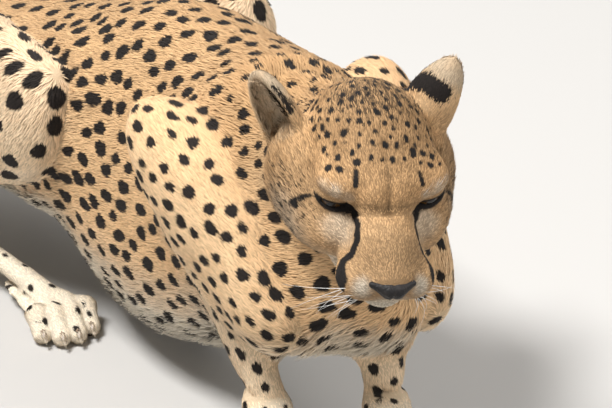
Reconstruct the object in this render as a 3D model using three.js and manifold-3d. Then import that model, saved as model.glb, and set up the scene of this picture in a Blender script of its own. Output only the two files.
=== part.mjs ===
// A life-size cheetah crouching on a floor, its forequarters and head turned to its right.
// Millimetres, +Z up, the floor at Z 0, the animal facing -Y and its left side towards +X.
// The flesh is one smooth field of swept and rounded muscles. It is meshed once, then parted
// into the named regions of the body. Eyes, nose pad and claws are pieces of their own.
import * as THREE from "three";
import { mergeVertices } from "three/addons/utils/BufferGeometryUtils.js";
import Module from "manifold-3d";

const wasm = await Module();
wasm.setup();

const SCALE = 0.95; // of the whole, drawn a little large
const GAP = 0.5; // clearance between neighbouring pieces
const EDGE = 1e4; // a distance that is outside everything

const size = (x, y, z) => Math.sqrt(x * x + y * y + z * z);
const probe = new THREE.Vector3();
const vec = ([x, y, z]) => new THREE.Vector3(x, y, z);
const smoothMin = (a, b, width) => {
  const h = Math.max(width - Math.abs(a - b), 0) / width;
  return Math.min(a, b) - h * h * width * 0.25;
};

// ---------------------------------------------------------------- shapes as distance fields

// Distance to an ellipsoid given by its centre, half sizes and axes.
function ellipsoid(centre, half, axes) {
  const c = centre.isVector3 ? centre : vec(centre);
  const [a, b, d] = axes;
  const reach = Math.max(...half);
  return {
    box: new THREE.Box3(c.clone().subScalar(reach), c.clone().addScalar(reach)),
    at(x, y, z) {
      const px = x - c.x, py = y - c.y, pz = z - c.z;
      const u = px * a.x + py * a.y + pz * a.z;
      const v = px * b.x + py * b.y + pz * b.z;
      const w = px * d.x + py * d.y + pz * d.z;
      const near = size(u / half[0], v / half[1], w / half[2]);
      const slope = size(u / half[0] ** 2, v / half[1] ** 2, w / half[2] ** 2);
      return slope < 1e-9 ? -Math.min(...half) : (near * (near - 1)) / slope;
    },
  };
}

// Distance to a body swept through stations [x, y, z, half width, half height], with elliptical
// sections whose width lies along side. Centres and sizes follow a smooth curve.
function sweep(stations, side, pieces = 6) {
  const centre = new THREE.CatmullRomCurve3(stations.map(vec), false, "centripetal");
  const girth = new THREE.CatmullRomCurve3(
    stations.map((s) => new THREE.Vector3(s[3], s[4] ?? s[3], 0)), false, "catmullrom", 0.5);
  const count = pieces * (stations.length - 1);
  const sides = Array.isArray(side) && side[0].isVector3 ? side : [side.isVector3 ? side : vec(side)];
  const bits = [];
  const box = new THREE.Box3();
  for (let i = 0; i < count; i++) {
    const t0 = i / count, t1 = (i + 1) / count;
    const a = centre.getPoint(t0), b = centre.getPoint(t1);
    const s0 = girth.getPoint(t0), s1 = girth.getPoint(t1);
    const along = b.clone().sub(a), length = along.length();
    along.divideScalar(length);
    const f = (t0 + t1) / 2 * (sides.length - 1), k = Math.min(Math.floor(f), sides.length - 1);
    const across = sides[k].clone().lerp(sides[Math.min(k + 1, sides.length - 1)], f - k);
    across.addScaledVector(along, -across.dot(along)).normalize();
    const up = along.clone().cross(across);
    const middle = a.clone().lerp(b, 0.5), reach = length / 2 + Math.max(s0.x, s0.y, s1.x, s1.y);
    bits.push({ a, along, length, across, up, w0: s0.x, w1: s1.x, h0: s0.y, h1: s1.y, middle, reach });
    for (const [p, s] of [[a, s0], [b, s1]]) {
      const r = Math.max(s.x, s.y);
      box.expandByPoint(p.clone().addScalar(r)).expandByPoint(p.clone().subScalar(r));
    }
  }
  return {
    box,
    at(x, y, z) {
      let best = EDGE;
      for (const s of bits) {
        if (size(x - s.middle.x, y - s.middle.y, z - s.middle.z) - s.reach > best) continue;
        const px = x - s.a.x, py = y - s.a.y, pz = z - s.a.z;
        const axial = px * s.along.x + py * s.along.y + pz * s.along.z;
        const t = Math.min(Math.max(axial / s.length, 0), 1);
        const w = s.w0 + (s.w1 - s.w0) * t, h = s.h0 + (s.h1 - s.h0) * t, m = Math.min(w, h);
        const u = px * s.across.x + py * s.across.y + pz * s.across.z;
        const v = px * s.up.x + py * s.up.y + pz * s.up.z;
        const e = axial - t * s.length;
        const near = size(u / w, v / h, e / m);
        const slope = size(u / (w * w), v / (h * h), e / (m * m));
        const d = slope < 1e-9 ? -m : (near * (near - 1)) / slope;
        if (d < best) best = d;
      }
      return best;
    },
  };
}

// Shapes joined smoothly. Each is skipped where it is too far away to matter.
function join(width, ...shapes) {
  const box = new THREE.Box3();
  shapes.forEach((s) => box.union(s.box));
  const p = new THREE.Vector3();
  return {
    box,
    at(x, y, z) {
      let d = EDGE;
      for (const s of shapes) {
        const far = s.box.distanceToPoint(p.set(x, y, z));
        if (far < Math.min(d, EDGE) + width || d === EDGE) d = smoothMin(d, s.at(x, y, z), width);
      }
      return d;
    },
  };
}

// A shape with others carved out of it, with a rounded rim.
function carve(shape, width, ...tools) {
  return {
    box: shape.box,
    at(x, y, z) {
      let d = shape.at(x, y, z);
      for (const t of tools) d = -smoothMin(-d, t.at(x, y, z), width);
      return d;
    },
  };
}

// ---------------------------------------------------------------- from fields to solids

const CORNERS = [[0, 0, 0], [1, 0, 0], [0, 1, 0], [1, 1, 0], [0, 0, 1], [1, 0, 1], [0, 1, 1], [1, 1, 1]];
const TETRAHEDRA = [[0, 1, 3, 7], [0, 3, 2, 7], [0, 2, 6, 7], [0, 6, 4, 7], [0, 4, 5, 7], [0, 5, 1, 7]];

// The surface where field is zero, by marching tetrahedra. Edges shorter than facet are then
// closed up along the surface.
function surfaceOf(field, box, step, facet) {
  const lo = box.min.clone().divideScalar(step).floor().subScalar(1);
  const hi = box.max.clone().divideScalar(step).ceil().addScalar(1);
  const n = hi.clone().sub(lo).addScalar(1);
  const index = (i, j, k) => i + n.x * (j + n.y * k);
  const value = new Float32Array(n.x * n.y * n.z);
  for (let k = 0; k < n.z; k++)
    for (let j = 0; j < n.y; j++)
      for (let i = 0; i < n.x; i++) {
        const rim = i === 0 || j === 0 || k === 0 || i === n.x - 1 || j === n.y - 1 || k === n.z - 1;
        const d = rim ? step : field((i + lo.x) * step, (j + lo.y) * step, (k + lo.z) * step);
        value[index(i, j, k)] = Math.abs(d) < 1e-4 ? 1e-4 : d;
      }
  const points = [], triangles = [], found = new Map();
  const place = (v) => [
    (v % n.x) + lo.x, (Math.floor(v / n.x) % n.y) + lo.y, Math.floor(v / (n.x * n.y)) + lo.z,
  ];
  const spans = CORNERS.map(([x, y, z]) => x + n.x * (y + n.y * z));
  const crossing = (a, b) => {
    const [p, q] = a < b ? [a, b] : [b, a];
    const key = p * 8 + spans.indexOf(q - p);
    if (!found.has(key)) {
      const t = value[p] / (value[p] - value[q]), P = place(p), Q = place(q);
      found.set(key, points.length / 3);
      for (let c = 0; c < 3; c++) points.push((P[c] + (Q[c] - P[c]) * t) * step);
    }
    return found.get(key);
  };
  for (let k = 0; k < n.z - 1; k++)
    for (let j = 0; j < n.y - 1; j++)
      for (let i = 0; i < n.x - 1; i++) {
        const c = CORNERS.map(([x, y, z]) => index(i + x, j + y, k + z));
        const inside = c.filter((v) => value[v] < 0).length;
        if (inside === 0 || inside === 8) continue;
        for (const tet of TETRAHEDRA) {
          const v = tet.map((t) => c[t]);
          const ins = [0, 1, 2, 3].filter((m) => value[v[m]] < 0);
          const out = [0, 1, 2, 3].filter((m) => value[v[m]] >= 0);
          if (!ins.length || !out.length) continue;
          // All six tetrahedra have the same handedness, so parity of the order tells the facing.
          const even = (o) => o.flatMap((a, i) => o.slice(i + 1).filter((b) => a > b)).length % 2 === 0;
          const add = (a, b, d, flip) => triangles.push(...(flip ? [a, d, b] : [a, b, d]));
          if (ins.length === 1) {
            const [p] = ins, e = out.map((q) => crossing(v[p], v[q]));
            add(e[0], e[1], e[2], !even([p, ...out]));
          } else if (ins.length === 3) {
            const [q] = out, e = ins.map((p) => crossing(v[p], v[q]));
            add(e[0], e[1], e[2], even([q, ...ins]));
          } else {
            const [p, q] = ins, [r, s] = out;
            const pr = crossing(v[p], v[r]), ps = crossing(v[p], v[s]);
            const qr = crossing(v[q], v[r]), qs = crossing(v[q], v[s]);
            const flip = !even([p, q, r, s]);
            add(pr, ps, qs, flip);
            add(pr, qs, qr, flip);
          }
        }
      }
  return { points, faces: thinned(points, triangles, field, facet) };
}

// The solid inside a surface whose vertices are first moved outwards by grow.
function solidIn({ points, faces }, grow = 0) {
  const geometry = new THREE.BufferGeometry()
    .setAttribute("position", new THREE.BufferAttribute(new Float32Array(points), 3))
    .setIndex(faces);
  geometry.computeVertexNormals();
  const at = geometry.attributes.position.array, normals = geometry.attributes.normal.array;
  return new wasm.Manifold(new wasm.Mesh({
    numProp: 3,
    vertProperties: at.map((v, i) => v + (normals[i] || 0) * grow),
    triVerts: new Uint32Array(faces),
  }));
}
const solidOf = (field, box, step, facet) => solidIn(surfaceOf(field, box, step, facet));

// Closes up edges shorter than facet, shortest first, and puts the vertex left on the surface.
function thinned(points, triangles, field, facet) {
  const corner = (v) => new THREE.Vector3(points[3 * v], points[3 * v + 1], points[3 * v + 2]);
  const faces = [], around = [];
  for (let i = 0; i < points.length / 3; i++) around.push(new Set());
  for (let i = 0; i < triangles.length; i += 3) {
    const face = triangles.slice(i, i + 3);
    face.forEach((v) => around[v].add(faces.length));
    faces.push(face);
  }
  const settle = (p) => {
    const h = 0.5, d = field(p.x, p.y, p.z);
    const slope = new THREE.Vector3(
      field(p.x + h, p.y, p.z) - d,
      field(p.x, p.y + h, p.z) - d,
      field(p.x, p.y, p.z + h) - d,
    ).divideScalar(h);
    return p.addScaledVector(slope, -THREE.MathUtils.clamp(d, -3, 3) / Math.max(slope.lengthSq(), 0.25));
  };
  const neighbours = (v) => new Set([...around[v]].flatMap((f) => faces[f]).filter((w) => w !== v));
  const normal = (p) => p[1].clone().sub(p[0]).cross(p[2].clone().sub(p[0]));
  const longest = ([a, b, c]) => Math.max(a.distanceTo(b), b.distanceTo(c), c.distanceTo(a));
  for (const share of [0.3, 0.5, 0.7, 0.85, 1, 1, 1]) {
    const limit = facet * share;
    const edges = [];
    for (const face of faces)
      if (face) for (let c = 0; c < 3; c++) {
        const [a, b] = [face[c], face[(c + 1) % 3]];
        if (a < b) {
          const length = corner(a).distanceTo(corner(b));
          if (length < limit) edges.push([length, a, b]);
        }
      }
    edges.sort((p, q) => p[0] - q[0]);
    for (const [, a, b] of edges) {
      const ringA = neighbours(a), ringB = neighbours(b);
      if (!ringA.has(b) || corner(a).distanceTo(corner(b)) > limit) continue;
      if ([...ringA].filter((v) => ringB.has(v)).length !== 2) continue;
      const middle = settle(corner(a).lerp(corner(b), 0.5));
      const ring = [...new Set([...around[a], ...around[b]])];
      const kept = ring.filter((f) => !(faces[f].includes(a) && faces[f].includes(b)));
      const mean = new THREE.Vector3();
      ring.forEach((f) => mean.add(normal(faces[f].map(corner))));
      mean.normalize();
      const sound = kept.every((f) => {
        const before = faces[f].map(corner);
        const after = faces[f].map((v) => (v === a || v === b ? middle : corner(v)));
        const now = normal(after), fullness = now.length() / longest(after) ** 2;
        return longest(after) < 2 * facet && now.dot(mean) > 0.3 * now.length()
          && fullness > Math.min(0.12, 0.6 * normal(before).length() / longest(before) ** 2);
      });
      if (!sound) continue;
      [points[3 * a], points[3 * a + 1], points[3 * a + 2]] = middle;
      for (const f of [...around[b]]) {
        if (faces[f].includes(a)) {
          faces[f].forEach((v) => around[v].delete(f));
          faces[f] = null;
        } else {
          faces[f][faces[f].indexOf(b)] = a;
          around[a].add(f);
        }
      }
      around[b].clear();
    }
  }
  return faces.filter(Boolean).flat();
}

// A closed three.js geometry as a solid, placed by matrix.
function solidFrom(geometry, matrix = new THREE.Matrix4()) {
  const g = geometry.clone().applyMatrix4(matrix);
  g.deleteAttribute("normal");
  g.deleteAttribute("uv");
  const merged = mergeVertices(g, 1e-4), faces = [];
  for (let i = 0; i < merged.index.count; i += 3) {
    const [a, b, c] = merged.index.array.slice(i, i + 3);
    if (a !== b && b !== c && c !== a) faces.push(a, b, c);
  }
  return new wasm.Manifold(new wasm.Mesh({
    numProp: 3, vertProperties: merged.attributes.position.array, triVerts: new Uint32Array(faces),
  }));
}

function largest(solid) {
  return solid.decompose().sort((a, b) => b.volume() - a.volume())[0];
}

const mirror = (p) => [-p[0], ...p.slice(1)];

// ---------------------------------------------------------------- trunk, neck and tail

const CHEST_TURN = THREE.MathUtils.degToRad(-24); // the forequarters face to the animal's right
const PELVIS_LEFT = new THREE.Vector3(1, -0.1, 0).normalize();
const CHEST_LEFT = new THREE.Vector3(Math.cos(CHEST_TURN), Math.sin(CHEST_TURN), 0);

const trunk = sweep([
  [-112, -30, 212, 56, 68],
  [-94, 20, 216, 82, 102],
  [-74, 100, 213, 96, 132],
  [-54, 180, 205, 104, 147],
  [-36, 270, 190, 108, 154],
  [-22, 360, 178, 104, 128],
  [-12, 450, 166, 96, 104],
  [-4, 530, 142, 86, 102],
  [4, 600, 130, 70, 84],
  [8, 655, 112, 46, 56],
], [CHEST_LEFT, CHEST_LEFT, PELVIS_LEFT, PELVIS_LEFT]);

const belly = sweep([
  [-84, 130, 140, 62, 72],
  [-66, 220, 112, 86, 86],
  [-44, 300, 106, 84, 84],
  [-16, 385, 114, 52, 68],
  [-12, 500, 116, 46, 58],
], [CHEST_LEFT, PELVIS_LEFT, PELVIS_LEFT]);

const neck = sweep([
  [-122, -20, 350, 54, 56],
  [-106, 30, 322, 60, 66],
  [-86, 90, 284, 72, 80],
  [-72, 140, 252, 80, 88],
], CHEST_LEFT);

const tail = [
  [8, 650, 112, 36, 36],
  [10, 710, 66, 27, 27],
  [20, 775, 34, 23, 23],
  [50, 850, 22, 22.5, 22.5],
  [105, 920, 20, 21.5, 21.5],
  [175, 970, 20, 21.5, 21.5],
  [250, 990, 20, 21.5, 21.5],
  [322, 980, 19, 20.5, 20.5],
  [380, 955, 15, 16, 16],
];
const tailLength = (from, to) => sweep(tail.slice(from, to), [0, 0, 1]);

// ---------------------------------------------------------------- legs

// Joints as [x, y, z]. facing is the way the toes point, in degrees from straight ahead,
// with positive to the animal's left.
const FORE = {
  right: {
    scapula: [-104, 128, 312],
    shoulder: [-174, 12, 184],
    elbow: [-180, 152, 297],
    point: [-178, 178, 322],
    wrist: [-168, 38, 82],
    ball: [-180, 2, 20],
    facing: -24,
  },
  left: {
    scapula: [-38, 96, 290],
    shoulder: [-66, -46, 186],
    elbow: [20, 68, 294],
    point: [29, 93, 316],
    wrist: [-92, -38, 82],
    ball: [-108, -72, 20],
    facing: -24,
  },
};
const HIND = {
  right: {
    hip: [-66, 575, 172],
    knee: [-138, 366, 243],
    hock: [-116, 530, 56],
    heel: [-112, 566, 46],
    ball: [-116, 372, 20],
    facing: -26,
  },
  left: {
    hip: [66, 565, 168],
    knee: [110, 342, 244],
    hock: [118, 500, 56],
    heel: [122, 536, 46],
    ball: [104, 338, 20],
    facing: 8,
  },
};

const between = (a, b, t) => a.map((v, i) => v + (b[i] - v) * t);
const plus = (a, ...b) => a.map((v, i) => v + b[i]);
const heading = (degrees) => {
  const a = THREE.MathUtils.degToRad(degrees);
  return new THREE.Vector3(Math.sin(a), -Math.cos(a), 0);
};

function foreleg({ scapula, shoulder, elbow, point, wrist }) {
  const limb = (...stations) => sweep(stations, CHEST_LEFT);
  return {
    shoulder: limb(
      [...scapula, 30, 44], [...between(scapula, shoulder, 0.5), 34, 54], [...shoulder, 36, 44]),
    upper: join(26,
      limb([...shoulder, 42, 46], [...between(shoulder, elbow, 0.5), 40, 54], [...elbow, 32, 40]),
      limb([...between(scapula, shoulder, 0.62), 28, 36], [...between(shoulder, point, 0.6), 32, 44],
        [...point, 21, 24]),
      limb([...between(shoulder, point, 0.6), 26, 32], [...point, 21, 22],
        [...between(point, wrist, 0.14), 21, 24]),
    ),
    fore: join(16,
      limb([...between(point, wrist, 0.2), 24, 32], [...between(point, wrist, 0.6), 20, 25],
        [...wrist, 20, 21]),
      limb([...between(elbow, wrist, 0.18), 25, 31], [...between(elbow, wrist, 0.45), 23, 28],
        [...wrist, 20, 20]),
    ),
  };
}

const TOES = [[-1.5, 0.78], [-0.5, 1], [0.5, 1], [1.5, 0.8]]; // place across the paw, share of reach

function paw(stem, ball, facing, width, reach) {
  const ahead = heading(facing), across = new THREE.Vector3(-ahead.y, ahead.x, 0);
  const shapes = [sweep([...stem, [...ball, width * 0.47, 23]], across)];
  const tips = [];
  for (const [place, share] of TOES) {
    const root = vec(ball).addScaledVector(across, place * width * 0.22);
    const tip = root.clone()
      .addScaledVector(ahead, reach * share)
      .addScaledVector(across, place * width * 0.04)
      .setZ(8.5);
    const knuckle = root.clone().lerp(tip, 0.5).setZ(21);
    shapes.push(sweep([[...root, 11, 13], [...knuckle, 10.5, 12], [...tip, 10, 11]], across));
    tips.push({ tip, ahead });
  }
  return { field: join(6, ...shapes), tips };
}

function hindleg({ hip, knee, hock, heel }) {
  const limb = (...stations) => sweep(stations, PELVIS_LEFT);
  const ham = plus(hip, 0, 50, -60), calf = plus(knee, 0, 40, -60);
  return {
    thigh: join(30,
      limb([...plus(hip, 0, 30, -8), 42, 66], [...between(hip, knee, 0.4), 42, 84],
        [...between(hip, knee, 0.75), 38, 77], [...knee, 34, 59]),
      limb([...plus(hip, 0, 56, -40), 36, 50], [...between(ham, calf, 0.5), 34, 50],
        [...plus(knee, 0, 26, -42), 24, 36]),
    ),
    shank: join(16,
      limb([...plus(knee, 0, 2, -30), 26, 34], [...between(knee, hock, 0.45), 24, 36],
        [...between(knee, hock, 0.8), 17, 22], [...hock, 19, 22]),
      limb([...between(knee, heel, 0.6), 13, 15], [...heel, 15, 15]),
    ),
  };
}

// ---------------------------------------------------------------- head

// The head's own axes: x to its left, y back, z up, from the middle of the line between the eyes.
const HEAD_AT = [-169, -108, 355.5];
const HEAD_TURN = THREE.MathUtils.degToRad(-33);
const HEAD_ROLL = THREE.MathUtils.degToRad(5.5);
const HEAD_PITCH = THREE.MathUtils.degToRad(12);
const headMatrix = new THREE.Matrix4()
  .makeRotationFromEuler(new THREE.Euler(HEAD_PITCH, HEAD_ROLL, HEAD_TURN, "ZXY"))
  .setPosition(vec(HEAD_AT));
const headAxes = [0, 1, 2].map((i) => new THREE.Vector3().setFromMatrixColumn(headMatrix, i));
const inHead = (p) => vec(p).applyMatrix4(headMatrix);
const lump = (centre, half) => ellipsoid(inHead(centre), half, headAxes);
const pair = (centre, half) => [lump(centre, half), lump(mirror(centre), half)];
const ridge = (stations, side = headAxes[0]) =>
  sweep(stations.map((s) => [...inHead(s), ...s.slice(3)]), side);

const EYE = { at: [41, 12, -8], radius: 16 };

const skull = join(18,
  lump([0, 60, 2], [56, 66, 50]),
  lump([0, 18, 4], [42, 40, 30]),
  ...pair([37, 10, 11], [22, 22, 12]),
  ...pair([46, 48, -26], [34, 46, 40]),
  ...pair([56, 74, -30], [30, 36, 44]),
  ridge([[0, 2, -12, 27, 24], [0, -34, -32, 25, 22], [0, -62, -46, 20, 17]]),
  ...pair([34, 6, -34], [22, 30, 20]),
);
const muzzle = join(9,
  lump([0, -70, -46], [18, 12, 12]),
  ...pair([19, -54, -59], [19, 24, 17]),
  lump([0, -34, -55], [32, 38, 24]),
  lump([0, -50, -75], [18, 19, 11]),
  ridge([[0, -42, -73, 19, 14], [0, 0, -72, 32, 20], [0, 50, -66, 48, 26]]),
);
const head = carve(join(12, skull, muzzle), 5, ...pair([43, -10, -8], [19, 15, 8]));
const nosePad = lump([0, -81, -45], [21, 14, 11]);

// The ears are set low on the sides of the skull and turned outwards, the right one further.
const EARS = {
  right: { base: [-74, 82, 6], tip: [-101, 95, 60], half: 25 },
  left: { base: [60, 82, 26], tip: [82, 95, 68], half: 26 },
};
function ear({ base, tip, half }) {
  const across = inHead([32 * Math.sign(base[0]), 8, -33]).sub(inHead([0, 0, 0]));
  return ridge(
    [[...base, half, 16], [...between(base, tip, 0.5), half * 0.86, 11], [...tip, half * 0.4, 7]],
    across,
  );
}

// ---------------------------------------------------------------- the whole body

// Each part of the body with the width over which it flows into those before it, and the
// length of the facets that suit its form.
const flesh = {};
const toes = [];
const give = (name, field, flow, facet) => { flesh[name] = { field, flow, facet }; };
const scapulae = Object.values(FORE).map((leg) => foreleg(leg).shoulder);
give("trunk", join(30, trunk, belly, ...scapulae), 0, 38);
give("neck", neck, 50, 27);
const PAW = { fore: 64, hind: 60, reach: 46 };
function givePaw(end, name, stem, { ball, facing }) {
  const { field, tips } = paw(stem, ball, facing, PAW[end], PAW.reach);
  give(`${end}paw_${name}`, field, 9, 12);
  tips.forEach((tip, i) => {
    toes.push({ name: `claw_${end}_${name}_${i + 1}`, paw: `${end}paw_${name}`, ...tip });
  });
}
for (const [name, leg] of Object.entries(FORE)) {
  const { upper, fore } = foreleg(leg);
  give("upper_arm_" + name, upper, 20, 24);
  give("forearm_" + name, fore, 18, 20);
  givePaw("fore", name, [[...leg.wrist, 24, 24], [...between(leg.wrist, leg.ball, 0.6), 27, 22]], leg);
}
for (const [name, leg] of Object.entries(HIND)) {
  const { thigh, shank } = hindleg(leg);
  give("thigh_" + name, thigh, 20, 29);
  give("shank_" + name, shank, 18, 22);
  givePaw("hind", name, [
    [...leg.heel, 15, 19],
    [...plus(leg.hock, 0, -14, -14), 21, 25],
    [...between(leg.hock, leg.ball, 0.6), 24, 22],
  ], leg);
}
give("head", head, 26, 12.5);
give("ear_right", ear(EARS.right), 9, 11);
give("ear_left", ear(EARS.left), 9, 11);
give("tail_base", tailLength(0, 4), 30, 20);
give("tail_middle", tailLength(3, 6), 6, 17);
give("tail_tip", tailLength(5, 9), 6, 16);

const pieces = Object.values(flesh);
function bodyAt(x, y, z) {
  let d = EDGE;
  for (const { field, flow } of pieces) {
    if (d < EDGE && field.box.distanceToPoint(probe.set(x, y, z)) > Math.max(d, 0) + flow) continue;
    d = d === EDGE || !flow ? Math.min(d, field.at(x, y, z)) : smoothMin(d, field.at(x, y, z), flow);
  }
  return d;
}

// The flesh is parted from the outermost parts inwards. Each part keeps what lies nearer to it
// than to those after it, and the rest is cut away along the same surface.
const ORDER = [
  "ear", "hindpaw", "forepaw", "tail", "shank", "forearm", "upper", "thigh", "head", "neck", "trunk",
];
const rank = (name) => ORDER.indexOf(name.split("_")[0]);

function partFlesh() {
  const solids = {}, cutters = [];
  const order = Object.entries(flesh).sort(([a], [b]) => rank(a) - rank(b));
  order.forEach(([name, { field, facet }], i) => {
    const box = field.box.clone().expandByScalar(18);
    let solid = solidOf(bodyAt, box, facet * 0.6, facet);
    const later = order.slice(i + 1).map(([, g]) => g.field).filter((f) => f.box.intersectsBox(box));
    let edge;
    if (later.length) {
      const bias = (x, y, z) => {
        let other = EDGE;
        for (const f of later) other = Math.min(other, f.at(x, y, z));
        return (field.at(x, y, z) - other) / 2;
      };
      edge = surfaceOf(bias, box.clone().expandByScalar(12), facet * 0.7, facet * 1.6);
      solid = solid.intersect(solidIn(edge, -GAP / 2));
      edge.box = box;
      edge.outer = solidIn(edge, GAP / 2);
    }
    for (const c of cutters) if (c.box.intersectsBox(box)) solid = solid.subtract(c.outer);
    if (edge) cutters.push(edge);
    solids[name] = largest(solid).trimByPlane([0, 0, 1], 0).simplify(0.12);
  });
  return solids;
}

// ---------------------------------------------------------------- claws

const CLAW = { length: 17, radius: 3.4, curl: 1.1 };

// A blunt horn that leaves the toe forwards and curls down, grown all over by extra.
function claw(extra) {
  const { length, radius, curl } = CLAW;
  const profile = [[0, 0], [1, 0], [0.95, 0.3], [0.75, 0.62], [0.42, 0.88], [0, 1]];
  const outline = profile.map(([r, t]) =>
    new THREE.Vector2(r && r * radius + extra, -extra + t * (length + 2 * extra)));
  const horn = new THREE.LatheGeometry(outline, 7);
  const at = horn.attributes.position, bend = length / curl;
  for (let i = 0; i < at.count; i++) {
    const a = at.getY(i) / bend, out = bend + at.getZ(i);
    at.setXYZ(i, at.getX(i), out * Math.sin(a), out * Math.cos(a) - bend);
  }
  return horn;
}

// ---------------------------------------------------------------- the scene

const COAT = { color: 0xd2a873, roughness: 0.85 };
const group = new THREE.Group();
const solids = partFlesh();

for (const [name, side] of [["right", -1], ["left", 1]]) {
  const centre = inHead([EYE.at[0] * side, EYE.at[1], EYE.at[2]]);
  const place = new THREE.Matrix4().makeTranslation(...centre);
  solids["eye_" + name] = solidFrom(new THREE.IcosahedronGeometry(EYE.radius, 3), place);
  solids.head = solids.head.subtract(solidFrom(new THREE.IcosahedronGeometry(EYE.radius + GAP, 3), place));
}
const noseBox = nosePad.box.clone().expandByScalar(3);
const noseAt = (x, y, z) => Math.max(bodyAt(x, y, z) - 1, nosePad.at(x, y, z));
const noseSurface = surfaceOf(noseAt, noseBox, 3, 5);
solids.nose = solidIn(noseSurface);
solids.head = largest(solids.head.subtract(solidIn(noseSurface, GAP)));

for (const { name, paw: pawName, tip, ahead } of toes) {
  const across = new THREE.Vector3(-ahead.y, ahead.x, 0);
  const place = new THREE.Matrix4().makeBasis(across.clone().negate(), ahead, new THREE.Vector3(0, 0, 1))
    .setPosition(tip.clone().addScaledVector(ahead, 2).setZ(15));
  solids[name] = solidFrom(claw(0), place);
  solids[pawName] = solids[pawName].subtract(solidFrom(claw(GAP), place));
}

const materials = {
  eye: { color: 0x8a5a1c, roughness: 0.15 },
  nose: { color: 0x2a2220, roughness: 0.55 },
  claw: { color: 0xb9a98c, roughness: 0.45 },
};
for (const [name, solid] of Object.entries(solids)) {
  const mesh = solid.getMesh();
  const geometry = new THREE.BufferGeometry()
    .setAttribute("position", new THREE.BufferAttribute(mesh.vertProperties, 3))
    .setIndex(new THREE.BufferAttribute(mesh.triVerts, 1));
  geometry.scale(SCALE, SCALE, SCALE);
  const finish = materials[name.split("_")[0]] ?? COAT;
  const node = new THREE.Mesh(geometry, new THREE.MeshStandardMaterial(finish));
  node.name = name;
  group.add(node);
}
const whole = new THREE.Box3().setFromObject(group), centre = whole.getCenter(new THREE.Vector3());
for (const node of group.children) node.geometry.translate(-centre.x, -centre.y, -whole.min.z);

export default group;
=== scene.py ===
"""A life-size cheetah crouching on a pale floor: skin, coat, eyes, nose, claws and whiskers."""
import math
import bpy
import numpy as np
import openvdb
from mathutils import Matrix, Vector
from mathutils.kdtree import KDTree


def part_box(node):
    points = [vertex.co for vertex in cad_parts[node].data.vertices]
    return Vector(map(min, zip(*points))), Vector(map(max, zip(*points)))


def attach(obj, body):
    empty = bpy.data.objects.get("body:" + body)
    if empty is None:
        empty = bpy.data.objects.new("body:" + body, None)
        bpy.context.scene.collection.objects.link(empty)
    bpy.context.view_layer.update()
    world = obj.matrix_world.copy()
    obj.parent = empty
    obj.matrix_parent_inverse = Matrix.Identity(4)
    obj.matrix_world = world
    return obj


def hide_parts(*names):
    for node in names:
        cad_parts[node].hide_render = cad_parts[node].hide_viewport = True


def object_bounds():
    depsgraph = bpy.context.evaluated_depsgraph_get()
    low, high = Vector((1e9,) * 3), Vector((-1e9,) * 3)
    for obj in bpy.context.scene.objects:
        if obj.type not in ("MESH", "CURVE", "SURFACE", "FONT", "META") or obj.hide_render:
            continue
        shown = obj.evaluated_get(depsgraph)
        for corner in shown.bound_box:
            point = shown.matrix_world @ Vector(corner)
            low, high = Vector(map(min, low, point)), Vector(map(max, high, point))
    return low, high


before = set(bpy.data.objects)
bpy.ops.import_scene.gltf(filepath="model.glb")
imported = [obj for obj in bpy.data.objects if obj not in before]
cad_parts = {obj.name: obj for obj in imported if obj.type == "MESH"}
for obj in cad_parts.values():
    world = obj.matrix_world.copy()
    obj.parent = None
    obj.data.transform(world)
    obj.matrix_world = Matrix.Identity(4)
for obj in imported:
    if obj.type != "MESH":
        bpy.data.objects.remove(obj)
CAD_LOW, CAD_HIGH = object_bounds()

# ---------------------------------------------------------------- studio
# A pale floor and a pale room, with one large soft lamp above the animal's right shoulder, two
# weaker ones from the other sides, and an even light from the room.
scene = bpy.context.scene
scene.view_settings.view_transform = "Standard"


class Signal:
    """A node socket that can be used in Python arithmetic."""

    def __init__(self, tree, socket):
        self.tree, self.socket = tree, socket

    def node(self, kind, output=0, settings=(), **inputs):
        """Another node in the same tree, with its settings made first."""
        made = self.tree.nodes.new(kind)
        for name, value in dict(settings).items():
            setattr(made, name, value)
        for name, value in inputs.items():
            key = int(name[1:]) if name[0] == "_" and name[1:].isdigit() else name.replace("_", " ")
            socket = made.inputs[key]
            if isinstance(value, Signal):
                self.tree.links.new(value.socket, socket)
            else:
                socket.default_value = value
        return Signal(self.tree, made.outputs[output])

    def math(self, operation, *values):
        named = {f"_{i}": v for i, v in enumerate(values)}
        return self.node("ShaderNodeMath", settings={"operation": operation}, **named)

    def __add__(self, other):
        return self.math("ADD", self, other)

    __radd__ = __add__

    def __sub__(self, other):
        return self.math("SUBTRACT", self, other)

    def __rsub__(self, other):
        return self.math("SUBTRACT", other, self)

    def __mul__(self, other):
        return self.math("MULTIPLY", self, other)

    __rmul__ = __mul__

    def maximum(self, other):
        return self.math("MAXIMUM", self, other)

    def step(self, low, high):
        """0 below low, 1 above high and smooth between them."""
        return self.node(
            "ShaderNodeMapRange", settings={"interpolation_type": "SMOOTHSTEP"},
            Value=self, From_Min=low, From_Max=high)

    def mix(self, first, second):
        """From the first colour to the second as this value goes from 0 to 1."""
        return self.node("ShaderNodeMix", 2, {"data_type": "RGBA"}, _0=self, _6=first, _7=second)


def painted(name, **constants):
    """A new material, its shader, and a signal to start its expressions from."""
    material = bpy.data.materials.new(name)
    material.use_nodes = True
    shader = material.node_tree.nodes["Principled BSDF"]
    for key, value in constants.items():
        shader.inputs[key.replace("_", " ")].default_value = value
    return material, shader, Signal(material.node_tree, None)


def drive(shader, name, signal):
    signal.tree.links.new(signal.socket, shader.inputs[name])


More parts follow.
